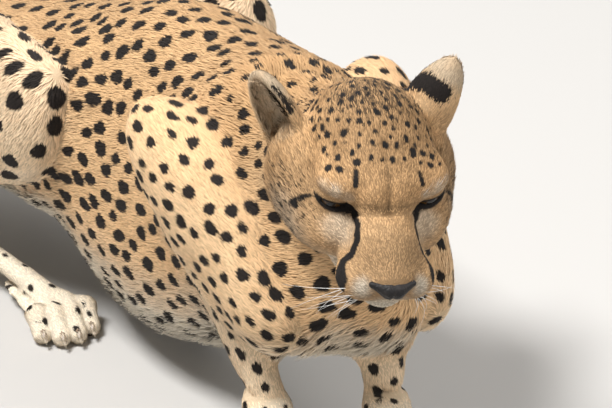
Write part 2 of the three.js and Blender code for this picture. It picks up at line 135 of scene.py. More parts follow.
def meshed(name, points, triangles, material):
    """A mesh object of triangles, smooth all over."""
    mesh = bpy.data.meshes.new(name)
    mesh.vertices.add(len(points))
    mesh.vertices.foreach_set("co", np.asarray(points, np.float32).ravel())
    mesh.loops.add(3 * len(triangles))
    mesh.loops.foreach_set("vertex_index", np.asarray(triangles, np.int32).ravel())
    mesh.polygons.add(len(triangles))
    mesh.polygons.foreach_set("loop_start", np.arange(0, 3 * len(triangles), 3, dtype=np.int32))
    mesh.update(calc_edges=True)
    mesh.polygons.foreach_set("use_smooth", np.ones(len(triangles), bool))
    mesh.materials.append(material)
    made = bpy.data.objects.new(name, mesh)
    scene.collection.objects.link(made)
    return made


FLOOR_HALF = 30.0
floor_corners = np.array([(-1, -1, 0), (1, -1, 0), (1, 1, 0), (-1, 1, 0)]) * FLOOR_HALF
floor_paint = painted("floor", Base_Color=(0.5, 0.485, 0.465, 1), Roughness=0.9)[0]
meshed("floor", floor_corners, [(0, 1, 2), (0, 2, 3)], floor_paint)

world = bpy.data.worlds.new("room")
scene.world = world
world.use_nodes = True
room = world.node_tree.nodes["Background"]
room.inputs["Color"].default_value = (0.93, 0.93, 0.92, 1)
AMBIENT = 0.35
straight, glossy, through = (
    Signal(world.node_tree, None).node("ShaderNodeLightPath", ray)
    for ray in ("Is Camera Ray", "Is Glossy Ray", "Is Transmission Ray"))
drive(room, "Strength", straight.maximum(glossy).maximum(through) * (1 - AMBIENT) + AMBIENT)

MIDDLE = (CAD_LOW + CAD_HIGH) / 2
LAMPS = {  # place from the animal's middle, size and watts
    "key": ((-1.6, 0.3, 3.2), 1.0, 200),
    "fill": ((0.9, -3.0, 3.0), 2.0, 74),
    "rim": ((2.4, 2.4, 2.4), 2.0, 46),
}
for lamp_name, (lamp_place, lamp_size, watts) in LAMPS.items():
    light = bpy.data.lights.new(lamp_name, "AREA")
    light.size, light.energy = lamp_size, watts
    lamp = bpy.data.objects.new(lamp_name, light)
    lamp.location = MIDDLE + Vector(lamp_place)
    lamp.rotation_euler = (-Vector(lamp_place)).to_track_quat("-Z", "Y").to_euler()
    scene.collection.objects.link(lamp)

# ---------------------------------------------------------------- camera
# A long lens looks down on the head from the animal's front right. The nose pad lies a little
# right of the picture's middle and below it.
LOOK_FROM, LOOK_DOWN = math.radians(-45), math.radians(30)
DISTANCE, LENS, SENSOR = 5.7, 409.4, 36
NOSE_RIGHT, NOSE_BELOW = 0.142, 0.141  # of the picture's width

back = Vector((math.sin(LOOK_FROM) * math.cos(LOOK_DOWN),
               -math.cos(LOOK_FROM) * math.cos(LOOK_DOWN), math.sin(LOOK_DOWN)))
right = Vector((math.cos(LOOK_FROM), math.sin(LOOK_FROM), 0))
above = back.cross(right)
picture_width = DISTANCE * SENSOR / LENS
nose_low, nose_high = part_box("nose")
aim = (nose_low + nose_high) / 2 + picture_width * (NOSE_BELOW * above - NOSE_RIGHT * right)
lens = bpy.data.cameras.new("camera")
lens.lens, lens.sensor_width = LENS, SENSOR
lens.clip_end = 100
camera = bpy.data.objects.new("camera", lens)
camera.location = aim + DISTANCE * back
camera.rotation_euler = (-back).to_track_quat("-Z", "Y").to_euler()
scene.collection.objects.link(camera)
scene.camera = camera

# ---------------------------------------------------------------- skin: the form of the body
# The hide is one closed surface over all the flesh. The flesh is joined as a field of distances,
# evened out, and sunk by the depth of the coat that stands on it there.
MM = 0.001
CELL = 5 * MM
REACH = 8  # cells of true distance on each side of a surface
CELLS = openvdb.createLinearTransform(CELL)


def corner_cells(low, high):
    """The first cell and the number of cells of a block that holds a box and its surroundings."""
    first = np.floor(np.array(low) / CELL).astype(int) - REACH
    return first, np.ceil(np.array(high) / CELL).astype(int) + REACH - first + 1


FIRST, SHAPE = corner_cells(CAD_LOW, CAD_HIGH)


def distances(points, first, shape, **faces):
    """The distance to a closed surface in every cell of a block."""
    grid = openvdb.FloatGrid.createLevelSetFromPolygons(
        points.astype(np.float32), transform=CELLS, halfWidth=float(REACH), **faces)
    block = np.empty(shape, np.float32)
    grid.copyToArray(block, ijk=first.tolist())
    return block


def outline(block, level=0.0):
    """The surface where the animal's block has that level, as points and quads that face out."""
    grid = openvdb.FloatGrid(REACH * CELL)
    grid.copyFromArray(block.astype(np.float32), ijk=FIRST.tolist())
    grid.transform = CELLS
    points, _, quads = grid.convertToPolygons(level, 0.0)
    return points, quads


def blurred(block, passes):
    for _ in range(passes):
        for axis in range(3):
            block = 0.5 * block + 0.25 * np.roll(block, 1, axis) + 0.25 * np.roll(block, -1, axis)
    return block


def sampled(block, first, points):
    """A block's values at points, smooth between its cells."""
    at = np.clip(points / CELL - first, 0, np.array(block.shape) - 1.001)
    low = at.astype(int)
    part = at - low
    total = np.zeros(len(points))
    for corner in range(8):
        step = np.array([corner & 1, corner >> 1 & 1, corner >> 2])
        weight = np.where(step == 1, part, 1 - part).prod(1)
        i, j, k = (low + step).T
        total += weight * block[i, j, k]
    return total


# The length of the hairs of each part, the depth of the skin below their tips, how far they stand
# up, their width and the space between their roots. Lengths are in millimetres.
COAT = {
    "trunk": dict(hair=10.4, depth=3.6, lift=0.16, width=1.08, space=1.88),
    "neck": dict(hair=11.2, depth=4, lift=0.2, width=1.04, space=1.68),
    "head": dict(hair=8, depth=2, lift=0.26, width=0.9, space=1.22),
    "ear": dict(hair=4.8, depth=1, lift=0.16, width=0.68, space=1.16),
    "upper": dict(hair=8.8, depth=2.8, lift=0.15, width=0.96, space=1.64),
    "forearm": dict(hair=6.4, depth=2, lift=0.15, width=0.84, space=1.52),
    "forepaw": dict(hair=4.4, depth=1.4, lift=0.15, width=0.72, space=1.28),
    "thigh": dict(hair=9.6, depth=3.2, lift=0.15, width=1.04, space=1.84),
    "shank": dict(hair=7.2, depth=2, lift=0.15, width=0.88, space=1.56),
    "hindpaw": dict(hair=4.4, depth=1.4, lift=0.15, width=0.72, space=1.24),
    "tail": dict(hair=10.4, depth=3.2, lift=0.18, width=1, space=1.68),
    "eye": dict(hair=3.2, depth=1.6, lift=0.2, width=0.64, space=1.12),
    "nose": dict(hair=3.2, depth=1.6, lift=0.2, width=0.64, space=1.12),
}
BLUR = {"ear": 1, "head": 1, "eye": 1, "nose": 1, "forepaw": 1, "hindpaw": 1,
        "forearm": 4, "shank": 4, "tail": 4}
BROAD = 7  # passes of blur on the big masses
GAP_CLOSED = 0.6 * MM  # more than the cuts between two parts
MERGE = 7 * MM  # over which one part's coat turns into the next's
EVENING = 9 * MM  # over which one part's blur turns into the next's


class Part:
    """A node of the CAD model with the distance to it in the cells round it."""

    def __init__(self, name):
        self.name, self.kind = name, name.split("_")[0]
        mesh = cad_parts[name].data
        mesh.calc_loop_triangles()
        self.points = np.empty(len(mesh.vertices) * 3, np.float32)
        mesh.vertices.foreach_get("co", self.points)
        self.points = self.points.reshape(-1, 3)
        corners = np.empty(len(mesh.loop_triangles) * 3, np.int32)
        mesh.loop_triangles.foreach_get("vertices", corners)
        low, high = self.points.min(0), self.points.max(0)
        self.middle = Vector((low + high) / 2)
        self.first, shape = corner_cells(low, high)
        self.block = distances(
            self.points, self.first, shape, triangles=corners.reshape(-1, 3).astype(np.uint32))
        self.cells = tuple(slice(a, a + n) for a, n in zip(self.first - FIRST, shape))

    def distance(self, points):
        """How far points are outside this part."""
        return sampled(self.block, self.first, points)


parts = {name: Part(name) for name in sorted(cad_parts) if not name.startswith("claw")}
FLESH = [name for name in parts if parts[name].kind not in ("eye", "nose")]
far = REACH * CELL
# The flesh apart by how many times it is blurred.
loose = {passes: np.full(SHAPE, far, np.float32) for passes in (1, 4, BROAD)}
depth_sum, weight_sum = np.zeros(SHAPE, np.float32), np.full(SHAPE, 1e-9, np.float32)
for part in parts.values():
    alike = loose[BLUR.get(part.kind, BROAD)]
    alike[part.cells] = np.minimum(alike[part.cells], part.block)
    weight = np.exp(-part.block / MERGE)
    depth_sum[part.cells] += weight * COAT[part.kind]["depth"] * MM
    weight_sum[part.cells] += weight
BELLY_TOP, BELLY_LOW, BELLY_DEPTH = 0.13, 0.07, 5 * MM
heights = (np.arange(SHAPE[2]) + FIRST[2]) * CELL
under = np.clip((BELLY_TOP - heights) / (BELLY_TOP - BELLY_LOW), 0, 1) * BELLY_DEPTH
trunk = parts["trunk"]
depth_sum[trunk.cells] += np.exp(-trunk.block / MERGE) * under[trunk.cells[2]]
points, quads = outline(np.minimum(np.minimum(loose[1], loose[4]), loose[BROAD]), GAP_CLOSED)
joined = distances(points, FIRST, SHAPE, quads=quads) + GAP_CLOSED
shares = {passes: np.exp(-np.clip(block - joined, 0, far) / EVENING)
          for passes, block in loose.items()}
body = sum(share * blurred(joined, passes) for passes, share in shares.items())
body /= sum(shares.values())
body += blurred(depth_sum / weight_sum, 3)

# The limbs stand out from the trunk, with a furrow between them.
FURROWS = {"thigh": (9 * MM, 11 * MM), "upper": (6 * MM, 10 * MM)}  # depth, and half the width
trunk_block = np.full(SHAPE, far, np.float32)
trunk_block[trunk.cells] = trunk.block
for part in parts.values():
    if part.kind in FURROWS:
        furrow_depth, furrow_half = FURROWS[part.kind]
        beside = (part.block - trunk_block[part.cells]) / furrow_half
        body[part.cells] += furrow_depth * np.exp(-beside ** 2)


class Surface:
    """A triangle mesh with the neighbours and normals of its points."""

    def __init__(self, points, triangles):
        self.points, self.triangles = np.asarray(points, float), np.asarray(triangles, int)
        t = self.triangles
        ends = np.concatenate([t[:, [0, 1]], t[:, [1, 2]], t[:, [2, 0]]])
        self.ends = np.concatenate([ends, ends[:, ::-1]])
        self.count = np.bincount(self.ends[:, 0], minlength=len(self.points))

    def around(self, values):
        """The mean of values over each point's neighbours."""
        total = np.stack([np.bincount(self.ends[:, 0], column[self.ends[:, 1]], len(self.points))
                          for column in values.T], 1)
        return total / np.maximum(self.count, 1)[:, None]

    def spread(self, values, times):
        for _ in range(times):
            values = 0.5 * values + 0.5 * self.around(values)
        return values

    def normals(self):
        a, b, c = (self.points[self.triangles[:, i]] for i in range(3))
        across = np.cross(b - a, c - a)
        total = np.stack([sum(np.bincount(self.triangles[:, i], column, len(self.points))
                              for i in range(3)) for column in across.T], 1)
        return total / np.maximum(np.linalg.norm(total, axis=1, keepdims=True), 1e-15)

    def even(self, times, moving=1.0):
        """Evens the surface out without shrinking it."""
        for _ in range(times):
            for pull in (0.5, -0.52):
                self.points = self.points + moving * pull * (self.around(self.points) - self.points)

    def slide(self, times, moving=1.0):
        """Evens out the spacing of the points along the surface."""
        for _ in range(times):
            pull, normals = self.around(self.points) - self.points, self.normals()
            pull -= normals * (pull * normals).sum(1, keepdims=True)
            self.points = self.points + moving * 0.5 * pull


def refined(surface, inside):
    """The surface with every edge halved whose two ends are inside."""
    t = surface.triangles
    sides = np.sort(np.stack([t, np.roll(t, -1, 1)], 2), 2).reshape(-1, 2)
    edges, which = np.unique(sides, axis=0, return_inverse=True)
    split = inside[edges].all(1)
    middle = np.where(split, len(surface.points) + np.cumsum(split) - 1, -1)
    points = np.concatenate([surface.points, surface.points[edges[split]].mean(1)])
    m = middle[which.reshape(-1, 3)]
    halves = (m >= 0).sum(1)
    made = [t[halves == 0]]
    rows = halves == 3
    (a, b, c), (ab, bc, ca) = t[rows].T, m[rows].T
    made += [np.stack(f, 1) for f in ((a, ab, ca), (ab, b, bc), (ca, bc, c), (ab, bc, ca))]
    for turn in range(3):
        tt, mm = np.roll(t, -turn, 1), np.roll(m, -turn, 1)
        rows = (halves == 1) & (mm[:, 0] >= 0)
        (a, b, c), ab = tt[rows].T, mm[rows, 0]
        made += [np.stack(f, 1) for f in ((a, ab, c), (ab, b, c))]
        rows = (halves == 2) & (mm[:, 2] < 0)
        (a, b, c), (ab, bc, _) = tt[rows].T, mm[rows].T
        made += [np.stack(f, 1) for f in ((ab, b, bc), (a, ab, bc), (a, bc, c))]
    return Surface(points, np.concatenate(made))


# ---------------------------------------------------------------- skin: the head
# A short round skull with a high forehead, a heavy brow, a narrow bridge and a blunt muzzle. The
# head's own axes are x to its left, y back and z up, in millimetres. Lumps given at x to the left
# are on both sides.
EYE = np.array([39, 11.4, -7.6])
NOSE_DROP = math.radians(21.8)  # of the nose pad below the eyes, seen from the side

eye_middles = [np.array(parts["eye_" + side].middle) for side in ("right", "left")]
between = (eye_middles[0] + eye_middles[1]) / 2
to_left = eye_middles[1] - eye_middles[0]
to_left /= np.linalg.norm(to_left)
to_nose = np.array(parts["nose"].middle) - between
to_nose -= to_left * (to_nose @ to_left)
to_nose /= np.linalg.norm(to_nose)
ahead = math.cos(NOSE_DROP) * to_nose + math.sin(NOSE_DROP) * np.cross(to_nose, to_left)
HEAD = np.stack([to_left, -ahead, np.cross(to_left, -ahead)])
HEAD_AT = between - (EYE * (0, 1, 1)) @ HEAD * MM


def in_head(points):
    return (np.asarray(points) - HEAD_AT) @ HEAD.T / MM


def from_head(points):
    return np.asarray(points) @ HEAD * MM + HEAD_AT


def mirrored(at):
    """Places on the right half of the head moved to the left half."""
    return np.concatenate([abs(at[:, :1]), at[:, 1:]], 1)


def lump(at, middle, half):
    """The distance to an ellipsoid."""
    off, half = at - middle, np.array(half, float)
    ratio = np.linalg.norm(off / half, axis=1)
    return ratio * (ratio - 1) / np.maximum(np.linalg.norm(off / half ** 2, axis=1), 1e-9)


def bar(at, start, end, widths, heights):
    """The distance to a round bar that tapers, with widths along x and heights across it."""
    start, end = np.array(start, float), np.array(end, float)
    along = end - start
    t = np.clip((at - start) @ along / (along @ along), 0, 1)
    off = at - start - t[:, None] * along
    wide, high = (a + (b - a) * t for a, b in (widths, heights))
    sides, rest = off[:, 0], np.hypot(off[:, 1], off[:, 2])
    ratio = np.hypot(sides / wide, rest / high)
    return ratio * (ratio - 1) / np.maximum(np.hypot(sides / wide ** 2, rest / high ** 2), 1e-9)


def merged(width, first, *others):
    """The distance to several forms that run into one another over a width."""
    for other in others:
        h = np.maximum(width - abs(first - other), 0) / width
        first = np.minimum(first, other) - h * h * width / 4
    return first


def hollowed(width, solid, tool):
    """The distance to a solid that a tool is cut out of, with edges rounded over a width."""
    return -merged(width, -solid, tool)


def head_form(at):
    """The distance to the left half of the head, without its ears, eyes and nose pad."""
    skull = merged(
        17,
        lump(at, (0, 57, 2), (53, 63, 47.5)),
        lump(at, (0, 17, 4), (40, 38, 28.5)),
        lump(at, (35, 9.5, 10.5), (21, 21, 11.5)),  # brow
        lump(at, (39.5, 42, -36), (30.5, 44, 43)),  # cheek
        lump(at, (48, 69, -33), (27.5, 34, 43)),  # ruff
        lump(at, (36, 12, -39), (24, 33, 25)),  # cheekbone
        bar(at, (0, 2, -11.5), (0, -32, -30.5), (25.5, 24), (23, 21)),
        bar(at, (0, -32, -30.5), (0, -57, -41.5), (24, 19), (21, 16)),
    )
    muzzle = merged(
        8,
        lump(at, (0, -64, -43), (16, 11, 9.5)),
        lump(at, (20.5, -46.5, -50), (20.5, 23.5, 15)),  # whisker pad
        lump(at, (0, -32, -51), (34, 36, 23)),
        lump(at, (0, -44, -69), (15.5, 16.5, 9)),  # chin
        bar(at, (0, -40, -69.5), (0, 0, -68.5), (17, 30.5), (12.5, 19)),
        bar(at, (0, 0, -68.5), (0, 47.5, -62.5), (30.5, 45.5), (19, 24.7)),
    )
    frown = lump(at, (11, -9, 8), (10, 13, 13))
    eye_socket = lump(at, (41, -9.5, -7.6), (18, 14, 7.6))
    return hollowed(5, merged(7, merged(11, skull, muzzle), frown), eye_socket)


def eased(value, low, high):
    t = np.clip((value - low) / (high - low), 0, 1)
    return t * t * (3 - 2 * t)


EAR_WALL, EAR_WALL_AT_FIRST = 2.2, 4.5  # half the thickness, and what the coarse cells can hold
EAR_RIM = 4  # the cup is cut off this far in front of its middle
EAR_TAPER = 0.16
EAR_HIGH, EAR_DEEP = 0.86, 0.72  # of its length and of half its width


class Ear:
    """A thin cup, with its root, its tip, the way it opens and half its width."""

    def __init__(self, root, tip, opening, half_width):
        self.root, self.tip, self.half_width = np.array(root), np.array(tip), half_width
        up = self.tip - self.root
        self.length = np.linalg.norm(up)
        up = up / self.length
        out = np.array(opening) - up * (up @ opening)
        out /= np.linalg.norm(out)
        self.axes = np.stack([np.cross(up, out), up, out])
        self.middle = self.root + 0.12 * self.length * up

    def own(self, at):
        """Places in the ear's own axes: across it, up it and out of its opening."""
        local = (at - self.middle) @ self.axes.T
        local[:, 0] /= 1 - EAR_TAPER * np.clip(local[:, 1] / self.length, -1, 1)
        return local

    def form(self, at, wall):
        """The distance to the ear."""
        local = self.own(at)
        half = (self.half_width, self.length * EAR_HIGH, self.half_width * EAR_DEEP)
        return hollowed(3, abs(lump(local, 0, half)) - wall, EAR_RIM - local[:, 2])


# The right ear is turned out and the left one back.
EARS = (
    Ear((-69, 78, 4), (-96, 90, 55), (-0.75, -0.6, 0.1), 20),
    Ear((52, 79, 21), (71, 88, 65), (0.5, 0.85, 0.1), 20),
)

# The lids leave an almond-shaped slot. Its ends are level with the eye's middle, and it turns
# outwards from straight ahead. Angles are in degrees about the middle of the eye.
SLOT_TURN, SLOT_HALF, SLOT_TOP, SLOT_FOOT, SLOT_TILT = 15, 49, 5, 13, 9
LID = 16.5  # radius of the lids
SLOT_FROM, SLOT_TO = 12.8, 19  # radii between which the slot is cut


def slot(at):
    """How far places are outside the slot between the lids, and from the eye's middle."""
    off = at - EYE
    away = np.maximum(np.linalg.norm(off, axis=1), 1e-6)
    along = (np.degrees(np.arctan2(off[:, 0], -off[:, 1])) - SLOT_TURN) / SLOT_HALF
    lift = np.degrees(np.arcsin(off[:, 2] / away)) - SLOT_TILT * along
    arch = np.maximum(1 - along ** 2, -1)
    gap = np.maximum(lift - SLOT_TOP * arch, -SLOT_FOOT * arch - lift)
    return np.radians(gap) * np.minimum(away, 25), away


# Folds of the face on its left half, each with its depth and half its width: between the lips,
# below the nose, down the brow, from eye to eye, and beside the bridge.
FOLDS = (
    ([(0, -69, -56), (9, -67, -59), (20, -58, -63), (29, -45, -63), (33, -30, -60)], 3.4, 2.2),
    ([(0, -77, -47), (0, -70, -56)], 2, 1.6),
    ([(0, 15, 36), (0, -6, 29), (0, -17, 16), (0, -25, 0)], 1.6, 4),
    ([(26, -12, -10), (17, -20, -8), (8, -25, -5), (0, -27, -3)], 1.8, 4),
    ([(26, -12, -10), (25, -22, -18), (26, -32, -32)], 1.2, 3),
)
HEIGHT_LEFT_OUT = 0.85  # of the height of a path over places that face a known way


def from_path(at, path, facing=None):
    """The distance to a path, and how far along it the nearest place is, from 0 to 1."""
    best, place = np.full(len(at), 1e9), np.zeros(len(at))
    for i, (start, end) in enumerate(zip(path, path[1:])):
        along = np.subtract(end, start)
        t = np.clip((at - start) @ along / (along @ along), 0, 1)
        away = at - start - t[:, None] * along
        if facing is not None:
            away = away - HEIGHT_LEFT_OUT * facing * (away * facing).sum(1, keepdims=True)
        off = np.linalg.norm(away, axis=1)
        place = np.where(off < best, (i + t) / (len(path) - 1), place)
        best = np.minimum(best, off)
    return best, place


def face_form(at, wall):
    """The distance to the whole head, with ears of half some thickness."""
    sided = mirrored(at)
    gap, away = slot(sided)
    lids = merged(7, head_form(sided), away - LID)
    from_slot = abs(away - (SLOT_FROM + SLOT_TO) / 2) - (SLOT_TO - SLOT_FROM) / 2
    face = hollowed(0.9, lids, np.maximum(gap, from_slot))
    for path, depth, half_width in FOLDS:
        face = face + depth * np.exp(-(from_path(sided, path)[0] / half_width) ** 2)
    return merged(7, face, *(ear.form(at, wall) for ear in EARS))


# Each paw has four toes side by side. They lie behind the claws, and dark grooves part them.
TOE_REACH = (34, 43, 43, 35)
TOE_RADII = (8.8, 9.2, 9.6)  # at its end, its knuckle and its root
TOE_HEIGHTS = (9.2, 19.2, 18.7)
CLAW_AHEAD = 8.2  # of the middle of a claw in front of the middle of the toe's end
TOES_BACK, TOES_EDGE = (-22, -4), (-52, -42)  # where the modelled toes run out


class Paw:
    """The four toes of a paw and the way they point."""

    def __init__(self, end, side):
        boxes = [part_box(f"claw_{end}_{side}_{i}") for i in (1, 2, 3, 4)]
        claws = [np.array(low + high) / 2 / MM for low, high in boxes]
        row = (claws[3] - claws[0]) * (1, 1, 0)
        row /= np.linalg.norm(row)
        self.ahead = np.array([row[1], -row[0], 0])
        self.toes = []
        for claw, reach in zip(claws, TOE_REACH):
            foot = (claw - self.ahead * CLAW_AHEAD) * (1, 1, 0)
            self.toes.append([foot - self.ahead * reach * part + (0, 0, height)
                              for part, height in zip((0, 0.5, 1), TOE_HEIGHTS)])
        self.middle = np.mean([knuckle for _, knuckle, _ in self.toes], 0)

    def form(self, at):
        """The distance to the toes."""
        radii = list(zip(TOE_RADII, TOE_RADII[1:]))
        toes = [merged(5, *(bar(at, start, end, ends, ends)
                            for start, end, ends in zip(toe, toe[1:], radii)))
                for toe in self.toes]
        return merged(1.6, *toes)

    def share(self, at):
        """1 on the toes, and 0 behind them and away from them."""
        off = at - self.middle
        edge = eased(-np.linalg.norm(off, axis=1), *TOES_EDGE)
        return eased(off @ self.ahead, *TOES_BACK) * edge


paws = [Paw(end, side) for end in ("fore", "hind") for side in ("right", "left")]
HEAD_GROUP = ("head", "ear", "eye", "nose")
to_head, to_rest = (np.full(SHAPE, far, np.float32) for _ in range(2))
for part in parts.values():
    group = to_head if part.kind in HEAD_GROUP else to_rest
    group[part.cells] = np.minimum(group[part.cells], part.block)
head_share = blurred(eased(to_rest - to_head, -6 * MM, 20 * MM), 3)
HEAD_MIDDLE = np.array([0, 20, 0])
HEAD_BACK, HEAD_EDGE = (-125, -100), (-150, -140)  # where the modelled head runs out


def form(points, wall=EAR_WALL):
    """The distance to the hide, with the modelled face and toes."""
    base = sampled(body, FIRST, points)
    at = in_head(points)
    own = sampled(head_share, FIRST, points) * eased(-at[:, 1], *HEAD_BACK)
    own *= eased(-np.linalg.norm(at - HEAD_MIDDLE, axis=1), *HEAD_EDGE)
    rows = own > 0
    base[rows] += own[rows] * (face_form(at[rows], wall) * MM - base[rows])
    for paw in paws:
        own = paw.share(points / MM)
        rows = own > 0
        toes = merged(4, paw.form(points[rows] / MM), base[rows] / MM + 6)
        base[rows] += own[rows] * (toes * MM - base[rows])
    return base


def settled(points, times, step=0.3 * MM):
    """Points moved onto the hide."""
    for _ in range(times):
        value = form(points)
        slope = np.stack([form(points + step * axis) - value for axis in np.eye(3)], 1) / step
        points = points - slope * (np.clip(value, -3 * MM, 3 * MM)
                                   / np.maximum((slope ** 2).sum(1), 0.3))[:, None]
    return points


HEAD_FINE, EAR_FINE, PAW_FINE = 112, 52, 48  # radii within which the form is fine


def detailed(points, reach=1.0):
    """True where the form is finer than the cells."""
    at = in_head(points)
    fine = np.linalg.norm(at - HEAD_MIDDLE, axis=1) < HEAD_FINE
    for ear in EARS:
        fine |= np.linalg.norm(at - (ear.root + ear.tip) / 2, axis=1) < EAR_FINE
    for paw in paws:
        fine |= np.linalg.norm(points / MM - paw.middle, axis=1) < PAW_FINE * reach
    return fine


def finest(points):
    """True on the front of the head, on what lies below it, and on the ears."""
    at = in_head(points)
    face = (at[:, 1] < 4) & (abs(at[:, 0]) < 53) & (at[:, 2] < 18)
    ears = (at[:, 2] > 28) & (abs(at[:, 0]) > 52)
    return detailed(points, 0.8) & (face | ears)


block = body.copy()
cells = np.argwhere(abs(block) < 5 * CELL)
cells = cells[detailed((cells + FIRST) * CELL)]
block[tuple(cells.T)] = form((cells + FIRST) * CELL, EAR_WALL_AT_FIRST)
points, quads = outline(block)
skin = Surface(points, np.concatenate([quads[:, [0, 1, 2]], quads[:, [0, 2, 3]]]))
skin.even(6, 1.0 - detailed(skin.points)[:, None] * 0.8)
# Each edge is halved twice where the form is finest, and once in the rest of the fine parts.
for where in (detailed, finest):
    skin = refined(skin, where(skin.points))
    for _ in range(2):
        rows = detailed(skin.points)
        skin.points[rows] = settled(skin.points[rows], 2)
        skin.slide(2, rows[:, None])
    rows = detailed(skin.points)
    skin.points[rows] = settled(skin.points[rows], 2)

# ---------------------------------------------------------------- the lie of the coat
# The hair lies back from the nose, over the neck, along the back and down the limbs to the toes.
# Every point of the skin has the length, lift, width and spacing of the tufts that grow there.
LIE = {
    "trunk": (0, 1, -0.25), "neck": (0.35, 0.8, -0.4), "upper": (0.05, 0.8, 0.4),
    "forearm": (-0.1, -0.5, -0.85), "forepaw": (-0.45, -0.85, -0.3), "thigh": (0, 0.55, -0.8),
    "shank": (0, 0.8, -0.5), "hindpaw": (-0.1, -0.95, -0.3),
}
NOSE_FRONT = np.array([0, -86, -50])
SHARING = 6 * MM  # over which the skin of one part turns into the next's
rng = np.random.default_rng(7)


def unit(vectors):
    return vectors / np.maximum(np.linalg.norm(vectors, axis=1, keepdims=True), 1e-12)


def lie_of(name):
    """The way that the hair of a part lies."""
    if name.startswith("tail"):
        ends = {"tail_base": ("tail_base", "tail_middle"), "tail_middle": ("tail_base", "tail_tip"),
                "tail_tip": ("tail_middle", "tail_tip")}[name]
        return np.subtract(parts[ends[1]].middle, parts[ends[0]].middle)
    if name.startswith("ear"):
        ear = EARS[name == "ear_left"]
        return (ear.tip - ear.root) @ HEAD
    return np.array(LIE[parts[name].kind])


normals = skin.normals()
on_head = in_head(skin.points)
apart = np.stack([parts[name].distance(skin.points) for name in FLESH], 1)
belongs = np.exp(-np.clip(apart - apart.min(1, keepdims=True), 0, 0.1) / SHARING)
belongs /= belongs.sum(1, keepdims=True)
owner = apart.argmin(1)
lie = np.zeros_like(skin.points)
for column, name in enumerate(FLESH):
    way = unit(on_head - NOSE_FRONT) @ HEAD if name == "head" else unit(lie_of(name)[None])
    lie += belongs[:, column:column + 1] * way
lie = skin.spread(unit(lie), 12)
lie = unit(lie - normals * (lie * normals).sum(1, keepdims=True))

kinds = [parts[name].kind for name in FLESH]
coat = {key: belongs @ np.array([COAT[kind][key] for kind in kinds], float)
        for key in ("hair", "lift", "width", "space")}


def share_of(*wanted):
    """How far each point of the skin belongs to nodes of some kinds, from 0 to 1."""
    return belongs @ np.array([kind in wanted for kind in kinds], float)


def near(middle, radius, soft=0.5, at=on_head):
    """1 near a place on either half of the head and 0 away from it."""
    off = np.linalg.norm(mirrored(at) - middle, axis=1) / radius
    return 1 - eased(off, 1 - soft, 1 + soft)


facing_down = eased(-normals[:, 2], 0.1, 0.8)
bellied = share_of("trunk") * facing_down
nape = share_of("neck", "trunk") * eased(normals[:, 2], 0.2, 0.9)
nape *= eased(-skin.points[:, 1], 0.1, 0.3)
on_half = mirrored(on_head)
on_face = share_of("head") * (1 - eased(on_head[:, 1], -20, 45))
cheek = share_of("head") * near((60, 48, -42), 44)
lidded = eased(-slot(on_half)[1], -26, -19) * share_of("head")
# The hair is longer under the belly, on the nape and on the cheeks, and short on face and lids.
coat["hair"] += 14 * bellied + 6 * nape + 7 * cheek - 4.4 * on_face * (1 - lidded) - 6 * lidded
coat["lift"] += 0.2 * bellied + 0.05 * nape + 0.08 * cheek
coat["width"] -= 0.08 * on_face
coat["space"] -= 0.06 * on_face + 0.15 * lidded - 0.4 * bellied

# ---------------------------------------------------------------- markings
# Round solid spots cover the body, small and close on the crown, missing from the belly and drawn
# out along the limbs. A black line runs from each eye to the mouth, and rings lead to the tail's
# white tip.
# Spacing and radius in millimetres, and how far spots are drawn out along the hair.
SPOTS = {
    "trunk": (18, 6.6, 1.15), "neck": (14.5, 5.2, 1.1), "upper": (15.5, 5.1, 1.2),
    "forearm": (16, 4.7, 1.2), "forepaw": (17, 2.6, 1.3), "thigh": (26, 8.8, 1.08),
    "shank": (22, 5.6, 1.3), "hindpaw": (19, 2.8, 1.3), "tail": (22, 7.8, 1.1),
    "head": (7.8, 2.45, 1.15), "ear": (0, 0, 1),
}
SPOT_SOFT = 0.9
BARE = 9.0  # millimetres from any mark
CHEEK_SPACING = 9.5
HAUNCH_LOW, HAUNCH_TOP = 0.235, 0.285  # heights between which spots turn into streaks

spacing, radius, drawn = (belongs @ np.array([SPOTS[kind] for kind in kinds], float)).T
haunch = share_of("thigh") * eased(skin.points[:, 2], HAUNCH_LOW, HAUNCH_TOP)
drawn = drawn * (1 + 1.1 * haunch)
radius = radius * (1 - 0.42 * haunch)
spacing = spacing * (1 - 0.22 * haunch)
crown = eased(on_head[:, 2], 14, 24) * eased(on_head[:, 1], -2, 8) * (1 - eased(on_half[:, 0], 44, 56))
cheek_row = eased(on_head[:, 1], 8, 20) * (1 - eased(on_head[:, 2], -26, -14))
headed, eared, tailed = share_of("head") > 0.5, share_of("ear") > 0.3, share_of("tail") > 0.5
spacing = np.where(headed & (crown < 0.5), np.where(cheek_row > 0.5, CHEEK_SPACING, 0), spacing)
spacing[eared | (bellied > 0.93)] = 0
# Each spot takes the next free point of the skin and keeps the others out of its spacing.
chosen, free = [], spacing > 0
small = skin.points.astype(np.float32)
for point in rng.permutation(len(small)):
    if free[point]:
        chosen.append(point)
        free &= ((small - small[point]) ** 2).sum(1) > (spacing[point] * MM) ** 2
centres = np.array(chosen)
tree = KDTree(len(centres))
for i, point in enumerate(centres):
    tree.insert(skin.points[point], i)
tree.balance()
uneven = np.where(headed, 0.42, 0.16)[centres] * rng.uniform(-1, 1, len(centres))
size = radius[centres] * (1 + uneven) * (1 - 0.2 * bellied[centres])
size *= np.where(headed & (crown < 0.5), 0.95, 1)[centres]
wobble = rng.uniform(0, 2 * math.pi, (2, len(centres)))
TRIES = 3  # centres looked at for each place
WIDEST = 30  # millimetres from a centre that its spot can reach
nearest = np.array([[i for _, i, _ in tree.find_n(point, TRIES)] for point in skin.points])


